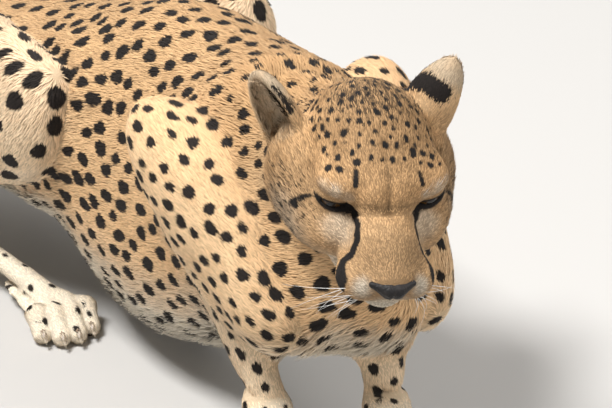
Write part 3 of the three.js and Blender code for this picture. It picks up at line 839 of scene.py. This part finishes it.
def spots(points, tries):
    """How far points are outside the nearest round spot, in millimetres."""
    best = np.full(len(points), BARE)
    for i in tries.T:
        c = centres[i]
        off = (points - skin.points[c]) / MM
        along = (off * lie[c]).sum(1)
        across = (off * np.cross(normals[c], lie[c])).sum(1)
        turn = np.arctan2(across, along)
        lobes = 0.09 * np.sin(2 * turn + wobble[0, i]) + 0.06 * np.sin(3 * turn + wobble[1, i])
        out = np.hypot(along / drawn[c], across * 1.05) - size[i] * (1 + lobes)
        best = np.minimum(best, np.where((off ** 2).sum(1) < WIDEST ** 2, out, BARE))
    return best


# Dark lines and dots of the head, in its own axes: a path with half its width at each end. First
# the lines from the eyes and the corners of the mouth, then the streaks and dots of the brow, the
# streaks behind the eyes, the dots of the cheek, and the backs of the ears.
MARKS = (
    ([(-31, -2, -9), (-25.2, -5, -10.2), (-23.9, -12.4, -12.5), (-24.6, -24.7, -12.3),
      (-26, -35, -19.5), (-28.2, -38.7, -32.7), (-33, -38, -42)], 2.9, 4),
    ([(-33, -38, -41), (-37, -45, -45), (-37, -52, -49)], 4, 7),
    ([(31, -5.3, -12.5), (28.2, -12.9, -14.3), (25.5, -25.8, -13.5), (27, -33, -19), (31, -33, -32),
      (34, -37, -42)], 3.1, 4.2),
    ([(34, -37, -41), (37, -45, -45), (37, -52, -49)], 3.6, 7),
    ([(-26.5, -1.5, 26.5), (-27.5, -10, 18.5)], 1.9, 2.6),
    ([(26.5, -3.5, 24.5), (28.8, -10.5, 17.5)], 1.5, 2.1),
    ([(-25, 4.5, 30), (-24.9, 5, 30.2)], 3.4, 3.4),
    ([(23.7, 12, 33.2), (23.5, 12.5, 33.3)], 3.8, 3.8),
    ([(-52, 5, -6), (-57, 9, -9), (-62.7, 13.4, -14), (-68, 20, -28)], 0.4, 3.2),
    ([(52, 5, -6), (57, 9, -9), (62.7, 13.4, -14), (68, 20, -28)], 0.4, 2.6),
    ([(-59.5, 5, -28), (-59.8, 6, -30)], 1.6, 1.6),
    ([(-54, 7, -44.7), (-55, 9, -46)], 1.7, 1.7),
    ([(-83, 75.5, 51.5), (-75.2, 71.3, 44.8), (-68, 66, 34)], 2.8, 4.6),
    ([(40, 89, 39), (50, 80, 48), (58, 69, 46)], 7, 9),
)
MARK_REACH = 60  # from the middle of a mark to the places it can darken
LID_LINE, LID_LINE_REACH = 2.5, 24  # its width, and how far it lies from the eye's middle


def marks(at, facing):
    """How far places on the head are outside the marks of the face, in millimetres."""
    best = np.full(len(at), BARE)
    for path, start, end in MARKS:
        rows = np.nonzero(np.linalg.norm(at - np.mean(path, 0), axis=1) < MARK_REACH)[0]
        off, place = from_path(at[rows], path, facing[rows])
        best[rows] = np.minimum(best[rows], off - start - (end - start) * place)
    gap, away = slot(mirrored(at))
    return np.where(away < LID_LINE_REACH, np.minimum(best, gap - LID_LINE), best)


TAIL_FROM, TAIL_TO = parts["tail_tip"].points[:, 0].min(), parts["tail_tip"].points[:, 0].max()
TAIL_WHITE = 38  # length of the white tip
RING_PITCH, RING_HALF = 46, 11.5
RINGS_FROM = TAIL_FROM + 30 * MM


def tail_left(points):
    """How much of the tail is left beyond points, in millimetres."""
    return (TAIL_TO - points[:, 0]) / MM


def rings(points):
    """How far points are outside the rings of the tail, in millimetres."""
    left = tail_left(points)
    out = abs((left - TAIL_WHITE) % RING_PITCH - RING_PITCH / 2) - RING_HALF
    return np.where((left > TAIL_WHITE - 2) & (points[:, 0] > RINGS_FROM), out, BARE)


head_normals = normals @ HEAD.T


def outside_marks(points, beside):
    """How far points are outside every dark mark, given a point of the skin beside each."""
    out = spots(points, nearest[beside])
    rows = (headed | eared)[beside]
    out[rows] = np.minimum(out[rows], marks(in_head(points[rows]), head_normals[beside[rows]]))
    rows = tailed[beside]
    ring = rings(points[rows])
    out[rows] = np.where(ring < BARE, ring, out[rows])
    return out


# How golden, pale, grey and mottled the hair is at each point of the skin, and how bright.
low = eased(-skin.points[:, 2], -0.16, -0.05)
upward = eased(normals[:, 2], -0.2, 0.85)
colour = {}
colour["gold"] = (
    share_of("trunk") * (0.6 + 0.2 * upward) + share_of("neck") * (0.35 + 0.6 * upward)
    + share_of("upper") * (0.2 + 0.5 * upward) + share_of("thigh") * (0.25 + 0.35 * upward)
    + share_of("tail") * 0.5 + share_of("forearm", "shank") * 0.3 + share_of("ear") * 0.5)
forehead = eased(on_head[:, 2], -6, 14) * (1 - eased(on_half[:, 0], 48, 72))
colour["gold"] += share_of("head") * (0.85 + 0.15 * forehead)
pale = 0.95 * bellied + share_of("trunk") * 0.6 * low
for amount in (share_of("hindpaw", "forepaw") * 0.8, share_of("shank", "forearm") * 0.35,
               share_of("thigh") * 0.3 + share_of("upper") * 0.05,
               share_of("thigh", "upper") * 0.6 * facing_down,
               tailed * (1 - eased(tail_left(skin.points), TAIL_WHITE - 8, TAIL_WHITE + 4))):
    pale = np.maximum(pale, amount)
PALE_PLACES = (  # middle, radius and how pale: over and under the eyes, the lips, chin and throat
    ((33, -14, 8), 5, 0.4), ((43, -10, 9.5), 6.5, 0.5), ((52, -3, 9.5), 6, 0.4),
    ((34, -16, -22), 15, 0.45), ((23, -66, -45), 8, 0.8), ((0, -52, -78), 26, 0.95),
    ((20, 0, -90), 40, 0.8), ((50, 25, -52), 26, 0.5), ((0, -70, -58), 12, 0.8),
)
for middle, reach, amount in PALE_PLACES:
    pale = np.maximum(pale, share_of("head") * amount * near(middle, reach, 0.6))
colour["pale"] = skin.spread(pale[:, None], 2)[:, 0]
colour["grey"] = np.zeros(len(skin.points))
for ear in EARS:
    local = ear.own(on_head)
    own = (np.linalg.norm(local, axis=1) < 75) * np.clip(share_of("ear") * 2, 0, 1)
    cup = (ear.half_width - 1, ear.length * 0.84, ear.half_width * 0.7)
    inner = own * (1 - eased(lump(local, 0, cup), -1, 1))
    inner *= eased(local[:, 1], -ear.length, -0.1 * ear.length)
    top = own * eased(local[:, 1], ear.length * 0.25, ear.length * 0.6)
    colour["grey"] = np.maximum(colour["grey"], np.maximum(0.8 * inner, 0.75 * top))
    coat["hair"] += 7 * inner
    coat["lift"] += 0.45 * inner
outside = outside_marks(skin.points, np.arange(len(skin.points)))
# Inside the ears the hair is made brighter: painted light against the shade of the cup.
inner_ear_light = np.clip(coat["lift"] - 0.5, 0, 0.3) / 0.3 * share_of("ear")
face_shade = (0.3 + 0.24 * eased(on_head[:, 2], 10, 40) + 0.15 * near((58, 35, -30), 40)
              + 0.2 * near((0, -56, -38), 34))
# Brightness is lower on the head, the neck and the top of the trunk, and lower again under the belly
# as painted shade. It is higher inside the ears as painted light.
colour["shade"] = (1 + 0.5 * inner_ear_light - share_of("head") * face_shade - 0.12 * bellied
                   - 0.3 * share_of("neck") - 0.23 * share_of("trunk") * (upward + bellied))
# Painted shade darkens the crease from eye to eye and the furrow down the brow, where the hair is also
# darker.
for path, reach in (([(0, 12, 32), (0, -10, 23), (0, -23, 4)], 2.4),
                    ([(24, -16, 1), (12, -23, 5), (0, -24, 2)], 2.6)):
    off = from_path(on_half, path)[0]
    colour["shade"] -= 0.3 * share_of("head") * np.exp(-(off / reach) ** 2)
face_mottle = 0.45 + 0.35 * crown - 0.3 * near((0, -45, -35), 34) + 0.4 * near((66, 24, -28), 26)
colour["mottle"] = 0.2 + share_of("head") * face_mottle


def coat_look(name):
    """Fur whose colour comes from the values at its points."""
    material, shader, start = painted(name, Roughness=0.8, Specular_IOR_Level=0.25)

    def value(key):
        return start.node("ShaderNodeAttribute", 2, {"attribute_name": key})

    hair = value("gold").mix((0.78, 0.57, 0.34, 1), (0.66, 0.39, 0.18, 1))
    hair = value("pale").mix(hair, (0.90, 0.81, 0.66, 1))
    hair = value("grey").mix(hair, (0.46, 0.38, 0.28, 1))
    place = start.node("ShaderNodeTexCoord", "Object")
    patches = start.node("ShaderNodeTexNoise", 0, Vector=place, Scale=55.0, Detail=3.0)
    brown = patches.step(0.45, 0.7) * (1 - value("pale")) * value("mottle")
    hair = brown.mix(hair, (0.50, 0.29, 0.13, 1))
    hair = (1 - value("outside").step(-SPOT_SOFT, SPOT_SOFT)).mix(hair, (0.014, 0.010, 0.008, 1))
    # The tone darkens the roots of the hair and the hide under them as painted shade. The shade holds
    # painted shade under the belly and in the creases of the face, and painted light inside the ears.
    brightness = value("tone") * value("shade")
    hair = hair.node("ShaderNodeVectorMath", 0, {"operation": "SCALE"}, _0=hair, Scale=brightness)
    drive(shader, "Base Color", hair)
    return material, shader, start


fur_paint = coat_look("fur")[0]


def give_values(mesh, **values):
    """Gives a mesh named values, one for each point."""
    for key, numbers in values.items():
        layer = mesh.attributes.new(key, "FLOAT", "POINT")
        layer.data.foreach_set("value", numbers.astype(np.float32))


hide_paint, hide_shader, start = coat_look("hide")
place = start.node("ShaderNodeTexCoord", "Object")
grain = start.node("ShaderNodeTexNoise", 0, Vector=place, Scale=900.0, Detail=3.0)
drive(hide_shader, "Normal", start.node("ShaderNodeBump", Height=grain, Strength=0.6, Distance=0.002))
hide = meshed("skin", skin.points, skin.triangles, hide_paint)
# The hide is as dark as the roots of the hair: a painted shade deep in the coat.
give_values(hide.data, outside=outside, tone=np.full(len(outside), 0.75), **colour)
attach(hide, "root")
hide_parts(*FLESH)

# ---------------------------------------------------------------- coat
# Thin tufts that taper to a point lie over one another along the body. Each is three triangles,
# rooted just under the skin. It bends away from the skin and its tip bends back towards it.
DENSITY = 1.0
MOST_TUFTS = 62_000  # in one piece
ROOT_DEPTH = 0.3 * MM
LID_MARGIN, LID_REACH = 1.2, 20  # bare edge of the lids, this far from the eye's middle
NOSE_MARGIN = 0.3 * MM

triangle_corners = skin.points[skin.triangles]
two_edges = triangle_corners[:, 1:] - triangle_corners[:, :1]
areas = np.linalg.norm(np.cross(two_edges[:, 0], two_edges[:, 1]), axis=1) / 2
wanted = DENSITY * areas / (coat["space"][skin.triangles].mean(1) * MM) ** 2
tufts_on = np.floor(wanted + rng.random(len(wanted))).astype(int)
triangle = np.repeat(np.arange(len(tufts_on)), tufts_on)
u, v = rng.random((2, len(triangle)))
u, v = np.where(u + v > 1, 1 - u, u), np.where(u + v > 1, 1 - v, v)
weights = np.stack([1 - u - v, u, v], 1)
skin_at = skin.triangles[triangle]  # the three points of the skin round each root


def at_roots(values):
    """A value of the skin's points at the roots of the tufts."""
    if values.ndim == 1:
        return (values[skin_at] * weights).sum(1)
    return (values[skin_at] * weights[:, :, None]).sum(1)


gap, away = slot(mirrored(at_roots(on_head)))
grows = ~(headed[skin_at[:, 0]] & (gap < LID_MARGIN) & (away < LID_REACH))
grows &= parts["nose"].distance(at_roots(skin.points)) > NOSE_MARGIN
skin_at, weights = skin_at[grows], weights[grows]
roots, root_at, beside = at_roots(skin.points), at_roots(on_head), skin_at[:, 0]
head_too, many = headed[beside], len(roots)
up = unit(at_roots(normals))
ahead = at_roots(lie) + rng.normal(0, 0.16, (many, 3))
ahead = unit(ahead - up * (ahead * up).sum(1, keepdims=True))
across = np.cross(up, ahead)
length = (at_roots(coat["hair"]) * rng.uniform(0.7, 1.2, many))[:, None] * MM
lift = (at_roots(coat["lift"]) * rng.uniform(0.6, 1.3, many))[:, None]
half = (at_roots(coat["width"]) * rng.uniform(0.4, 0.6, many))[:, None] * MM
start_at = roots - up * ROOT_DEPTH
middle_at = start_at + length * 0.5 * (ahead * np.cos(1.3 * lift) + up * np.sin(1.3 * lift))
end_at = start_at + length * (ahead * np.cos(0.6 * lift) + up * np.sin(0.6 * lift))
tuft_points = np.stack([start_at - across * half * 0.7, start_at + across * half * 0.7,
                        middle_at - across * half, middle_at + across * half, end_at], 1)
TUFT = np.array([(0, 3, 1), (0, 2, 3), (2, 4, 3)])
TILTS = (-0.35, 0.35, -0.35, 0.35, 0)  # of the normals, which round a tuft off
tuft_normals = np.stack([unit(up + across * tilt + ahead * 0.12) for tilt in TILTS], 1)

# The hair is painted darker at its roots and paler at its tips, a painted shade and light that give
# the coat depth, and each tuft's tone differs at random. Each tuft meets the marks a little early or
# late, which makes their edges ragged. Dark tufts stand singly on the crown and the cheeks.
tone = 1 + rng.uniform(-1, 1, many) * np.where(head_too, 0.4, 0.16)
tone = tone[:, None] * np.array([0.76, 0.76, 1.0, 1.0, 1.14])
root_out, middle_out, end_out = (
    outside_marks(roots + (places - roots) * 0.85, beside) for places in (roots, middle_at, end_at))
dusky = 0.5 * near((0, 66, 44), 30, at=root_at) + 0.26 * near((60, 26, -36), 26, at=root_at)
dusky = head_too & (rng.random(many) < dusky)
ragged = np.where(eared[beside], 1.4, np.where(head_too, 0.35, 0.55)) * rng.normal(0, 1, many)
tuft_out = np.stack([root_out, root_out, middle_out, middle_out, end_out], 1) + ragged[:, None]
tuft_out[dusky] = np.minimum(tuft_out[dusky], -0.3)
root_colour = {key: at_roots(numbers) for key, numbers in colour.items()}

# Each tuft is a small patch on an unwrap of the skin: six charts, one for each way it faces.
CHARTS = (3, 2)
CHART_EDGE, CHART_SIZE = 0.006, 1 / 3 - 0.014
PATCH = np.array([(-0.5, 0), (0.5, 0), (-0.5, 0.5), (0.5, 0.5), (0, 1)]) * 0.0027
axis = abs(up).argmax(1)
chart = 2 * axis + (np.take_along_axis(up, axis[:, None], 1)[:, 0] > 0)


def laid_flat(points, axis):
    """The two sides of points other than the axis that each faces along."""
    return np.stack([np.where(axis == 0, points[:, 1], points[:, 0]),
                     np.where(axis == 2, points[:, 1], points[:, 2])], 1)


def unwrapped(rows):
    """Where the corners of some tufts lie on the unwrap of their piece."""
    low_corner, high_corner = roots[rows].min(0), roots[rows].max(0)
    extent = (high_corner - low_corner).max() + 1e-6
    flat = laid_flat(roots[rows], axis[rows]) - laid_flat(low_corner[None], axis[rows])
    cell = np.stack([chart[rows] % CHARTS[0], chart[rows] // CHARTS[0]], 1) / CHARTS
    place_on = cell + CHART_EDGE + flat / extent * CHART_SIZE
    return (place_on[:, None] + PATCH).reshape(-1, 2)


root_owner = owner[beside]
for column, name in enumerate(FLESH):
    mine = np.nonzero(root_owner == column)[0]
    pieces = max(1, math.ceil(len(mine) / MOST_TUFTS))
    mine = mine[np.argsort(roots[mine, 1], kind="stable")]
    for number, rows in enumerate(np.array_split(mine, pieces)):
        if not len(rows):
            continue
        tuft_faces = (TUFT + 5 * np.arange(len(rows))[:, None, None]).reshape(-1, 3)
        tufts = meshed(
            f"coat_{name}_{number + 1}", tuft_points[rows].reshape(-1, 3), tuft_faces, fur_paint)
        layer = tufts.data.uv_layers.new(name="OFBake")
        layer.data.foreach_set("uv", unwrapped(rows)[tuft_faces.ravel()].astype(np.float32).ravel())
        give_values(tufts.data, outside=tuft_out[rows].ravel(), tone=tone[rows].ravel(),
                    **{key: np.repeat(numbers[rows], 5) for key, numbers in root_colour.items()})
        tufts.data.normals_split_custom_set_from_vertices(tuft_normals[rows].reshape(-1, 3))
        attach(tufts, "root")

# ---------------------------------------------------------------- eyes
# A wet ball with a round pupil in an amber iris, the iris painted very dark as the shade of the brow
# over it. The clear front bulges a little.
EYEBALL, BULGE = 14.6, 1.1
GAZE_OUT, GAZE_DOWN = math.radians(15), math.radians(10)
PUPIL, IRIS, WHITE = 16, 44, 50  # degrees from the line of sight
RINGS, SEGMENTS = 44, 56

eye_paint, eye_shader, start = painted(
    "eye", Roughness=0.2, Coat_Weight=0.3, Coat_Roughness=0.05, Specular_IOR_Level=0.25)
angle = start.node("ShaderNodeAttribute", 2, {"attribute_name": "angle"})
rays = start.node("ShaderNodeTexNoise", 0, Vector=start.node("ShaderNodeTexCoord", "Object"),
                  Scale=700.0, Detail=2.0)
# The amber is painted very dark: painted shade of the brow over the eye.
shaded_amber = rays.step(0.3, 0.7).mix((0.035, 0.016, 0.006, 1), (0.10, 0.05, 0.015, 1))
iris = angle.step(PUPIL - 1.5, PUPIL + 1.5).mix((0.004, 0.003, 0.003, 1), shaded_amber)
rimmed = angle.step(IRIS - 8, IRIS).mix(iris, (0.02, 0.01, 0.006, 1))
drive(eye_shader, "Base Color", angle.step(IRIS + 2, WHITE).mix(rimmed, (0.04, 0.028, 0.022, 1)))


def ball_faces(rings, segments):
    """The triangles of a ball whose last two points are its front and its back."""
    faces, front, last_ring = [], rings * segments, (rings - 1) * segments
    for j in range(segments):
        after = (j + 1) % segments
        faces += [(front, after, j), (front + 1, last_ring + j, last_ring + after)]
        for i in range(rings - 1):
            a, b = i * segments + j, i * segments + after
            faces += [(a, b, b + segments), (a, b + segments, a + segments)]
    return faces


polar = np.linspace(0, math.pi, RINGS + 1)[1:-1].repeat(SEGMENTS)
round_it = np.tile(np.arange(SEGMENTS) * 2 * math.pi / SEGMENTS, RINGS - 1)
radii = EYEBALL + BULGE * (1 - eased(np.degrees(polar), 0, IRIS + 4))
for side, sign in (("right", -1), ("left", 1)):
    gaze = np.array([sign * math.sin(GAZE_OUT) * math.cos(GAZE_DOWN),
                     -math.cos(GAZE_OUT) * math.cos(GAZE_DOWN), -math.sin(GAZE_DOWN)])
    wide = unit(np.cross(gaze, (0, 0, 1))[None])[0]
    high = np.cross(wide, gaze)
    rim = np.cos(round_it)[:, None] * wide + np.sin(round_it)[:, None] * high
    ball = (np.cos(polar)[:, None] * gaze + np.sin(polar)[:, None] * rim) * radii[:, None]
    ball = np.concatenate([ball, [gaze * (EYEBALL + BULGE), -gaze * EYEBALL]])
    eyeball = meshed("eyeball_" + side, from_head(ball + EYE * (sign, 1, 1)),
                     ball_faces(RINGS - 1, SEGMENTS), eye_paint)
    give_values(eyeball.data, angle=np.degrees(np.append(polar, (0, math.pi))))
    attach(eyeball, "root")
    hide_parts("eye_" + side)

# ---------------------------------------------------------------- nose leather
# Bare black pebbled skin with two comma-shaped nostrils and a cleft below them.
NOSE_CELL, NOSE_FAR = 0.9, 5.0
NOSE_CORNER, NOSE_ROOM = np.array([-24, -92, -62]), np.array([48, 34, 34])
CLEFT_DEPTH, CLEFT_HALF = 1.3, 1.3


def nose_form(at):
    """The distance to the nose leather."""
    sided = mirrored(at)
    pad = merged(
        5,
        lump(sided, (0, -72.5, -42), (9, 7, 6)),
        bar(sided, (4.5, -73.2, -41.4), (17.5, -68.8, -38.4), (6.6, 2.7), (6.6, 2.7)),
        bar(sided, (0, -74, -45), (0, -71, -51), (2.6, 1.6), (2.6, 1.6)),
    )
    nostril = bar(sided, (6, -81, -45), (12, -78, -43), (1.9, 1.5), (1.9, 1.5))
    slit = bar(sided, (12, -78, -43), (20, -71.5, -41.5), (1.5, 0.6), (1.5, 0.6))
    cleft = CLEFT_DEPTH * np.exp(-(sided[:, 0] / CLEFT_HALF) ** 2) * eased(-sided[:, 2], 40, 44)
    return hollowed(1.2, hollowed(1.6, pad, nostril), slit) + cleft


nose_cells = (NOSE_ROOM / NOSE_CELL).astype(int)
nose_at = np.stack(np.meshgrid(*map(np.arange, nose_cells), indexing="ij"), -1).reshape(-1, 3)
nose_block = nose_form(nose_at * NOSE_CELL + NOSE_CORNER).reshape(nose_cells)
nose_grid = openvdb.FloatGrid(NOSE_FAR)
nose_grid.copyFromArray(np.clip(nose_block, -NOSE_FAR, NOSE_FAR).astype(np.float32))
nose_points, _, nose_quads = nose_grid.convertToPolygons(0.0, 0.0)
nose_skin = Surface(from_head(nose_points * NOSE_CELL + NOSE_CORNER),
                    np.concatenate([nose_quads[:, [0, 1, 2]], nose_quads[:, [0, 2, 3]]]))
nose_skin.even(4)
nose_paint, nose_shader, start = painted("nose leather", Roughness=0.5, Specular_IOR_Level=0.3)
place = start.node("ShaderNodeTexCoord", "Object")
pebbles = start.node("ShaderNodeTexVoronoi", 0, {"feature": "SMOOTH_F1"}, Vector=place, Scale=750.0)
blotch = start.node("ShaderNodeTexNoise", 0, Vector=place, Scale=160.0, Detail=3.0)
black = blotch.step(0.35, 0.7).mix((0.005, 0.004, 0.004, 1), (0.016, 0.012, 0.011, 1))
bumps = start.node("ShaderNodeBump", Height=pebbles, Strength=0.7, Distance=0.0006)
drive(nose_shader, "Base Color", black)
drive(nose_shader, "Roughness", pebbles * 0.3 + 0.42)
drive(nose_shader, "Normal", bumps)
leather = meshed("nose_leather", nose_skin.points, nose_skin.triangles, nose_paint)
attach(leather, "root")
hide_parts("nose")

# ---------------------------------------------------------------- claws
# Blunt worn horn, pale at the tip and brown towards the toe. Each is the model's own claw with its
# edges rounded.
claw_paint, claw_shader, start = painted("claw", Roughness=0.4)
place = start.node("ShaderNodeTexCoord", "Object")
grain = start.node("ShaderNodeTexNoise", 0, Vector=place, Scale=420.0, Detail=4.0)
height = start.node("ShaderNodeSeparateXYZ", 2, Vector=place)
horn = height.step(0.007, 0.017).mix((0.62, 0.54, 0.42, 1), (0.22, 0.15, 0.10, 1))
streaked = (grain.step(0.35, 0.75) * 0.5).mix(horn, (0.34, 0.26, 0.18, 1))
scratches = start.node("ShaderNodeBump", Height=grain, Strength=0.3, Distance=0.0005)
drive(claw_shader, "Base Color", streaked)
drive(claw_shader, "Normal", scratches)
for name in sorted(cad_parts):
    if name.startswith("claw"):
        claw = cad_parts[name]
        claw.data.materials.clear()
        claw.data.materials.append(claw_paint)
        claw.modifiers.new("round", "SUBSURF").render_levels = 2

# ---------------------------------------------------------------- whiskers
# Stiff white hairs in rows on the upper lip, and a few finer ones over each eye.
STATIONS, FACETS = 9, 5
LIP_ROWS = (2, 3, 3, 2)  # whiskers in each row, from the top
BROW_HAIRS = 4
TAPER = 0.82
WHISKER, BROW_HAIR = (44, 72, 0.25), (13, 19, 0.16)  # lengths and thickness

whisker_paint, whisker_shader, start = painted("whisker", Roughness=0.35)
white = start.node("ShaderNodeTexNoise", 0, Scale=60.0).step(0.3, 0.7).mix(
    (0.80, 0.78, 0.74, 1), (0.92, 0.91, 0.88, 1))
drive(whisker_shader, "Base Color", white)


def whisker(root, way, tip, shortest, longest, thick):
    """A hair on one half of the face: its root, the ways it leaves and ends, and its size."""
    return np.array([root, way, tip], float), rng.uniform(shortest, longest), thick


hairs = []
for sign in (-1, 1):
    whole = []
    for row, number in enumerate(LIP_ROWS):
        for column in range(number):
            root = (26 + 1.5 * column - abs(row - 1.5), -62 + 7.5 * column, -50 - 4.4 * row)
            whole.append(whisker(root, (0.9, 0.1, -0.2 - 0.2 * row),
                                 (0.64 - 0.14 * row, 0.52 - 0.05 * row, -0.52 - 0.16 * row), *WHISKER))
    for i in range(BROW_HAIRS):
        whole.append(whisker((28 + 4 * i, -10 + 2.5 * i, 8 + i), (0.2, -0.7, 0.6),
                             (0.45, 0.3, 0.85), *BROW_HAIR))
    hairs += [(ways * (sign, 1, 1), length, thick) for ways, length, thick in whole]
hair_roots = in_head(settled(from_head(np.array([ways[0] for ways, *_ in hairs])), 8))
tube_points, tube_faces = [], []
for root, ((_, way, tip), length, thick) in zip(hair_roots, hairs):
    way = way / np.linalg.norm(way) + rng.normal(0, 0.06, 3)
    tip = tip / np.linalg.norm(tip) + rng.normal(0, 0.07, 3)
    t = np.linspace(0, 1, STATIONS)[:, None]
    line = root - way * 1.5 + length * (t * (1 - t) * way * 0.5 + t * (0.5 + 0.5 * t) * tip)
    tangent = unit(np.gradient(line, axis=0))
    side_way = unit(np.cross(tangent, (0.3, 0.2, 1.0)))
    other_way = np.cross(tangent, side_way)
    turn = np.arange(FACETS)[None, :, None] * 2 * math.pi / FACETS
    rim = np.cos(turn) * side_way[:, None] + np.sin(turn) * other_way[:, None]
    ring = line[:, None] + (thick * (1 - TAPER * t))[:, None] * rim
    first = len(tube_points) * STATIONS * FACETS
    tube_points.append(ring.reshape(-1, 3))
    for i in range(STATIONS - 1):
        for j in range(FACETS):
            a, b = first + i * FACETS + j, first + i * FACETS + (j + 1) % FACETS
            tube_faces += [(a, b, b + FACETS), (a, b + FACETS, a + FACETS)]
whiskers = meshed("whiskers", from_head(np.concatenate(tube_points)), tube_faces, whisker_paint)
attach(whiskers, "root")
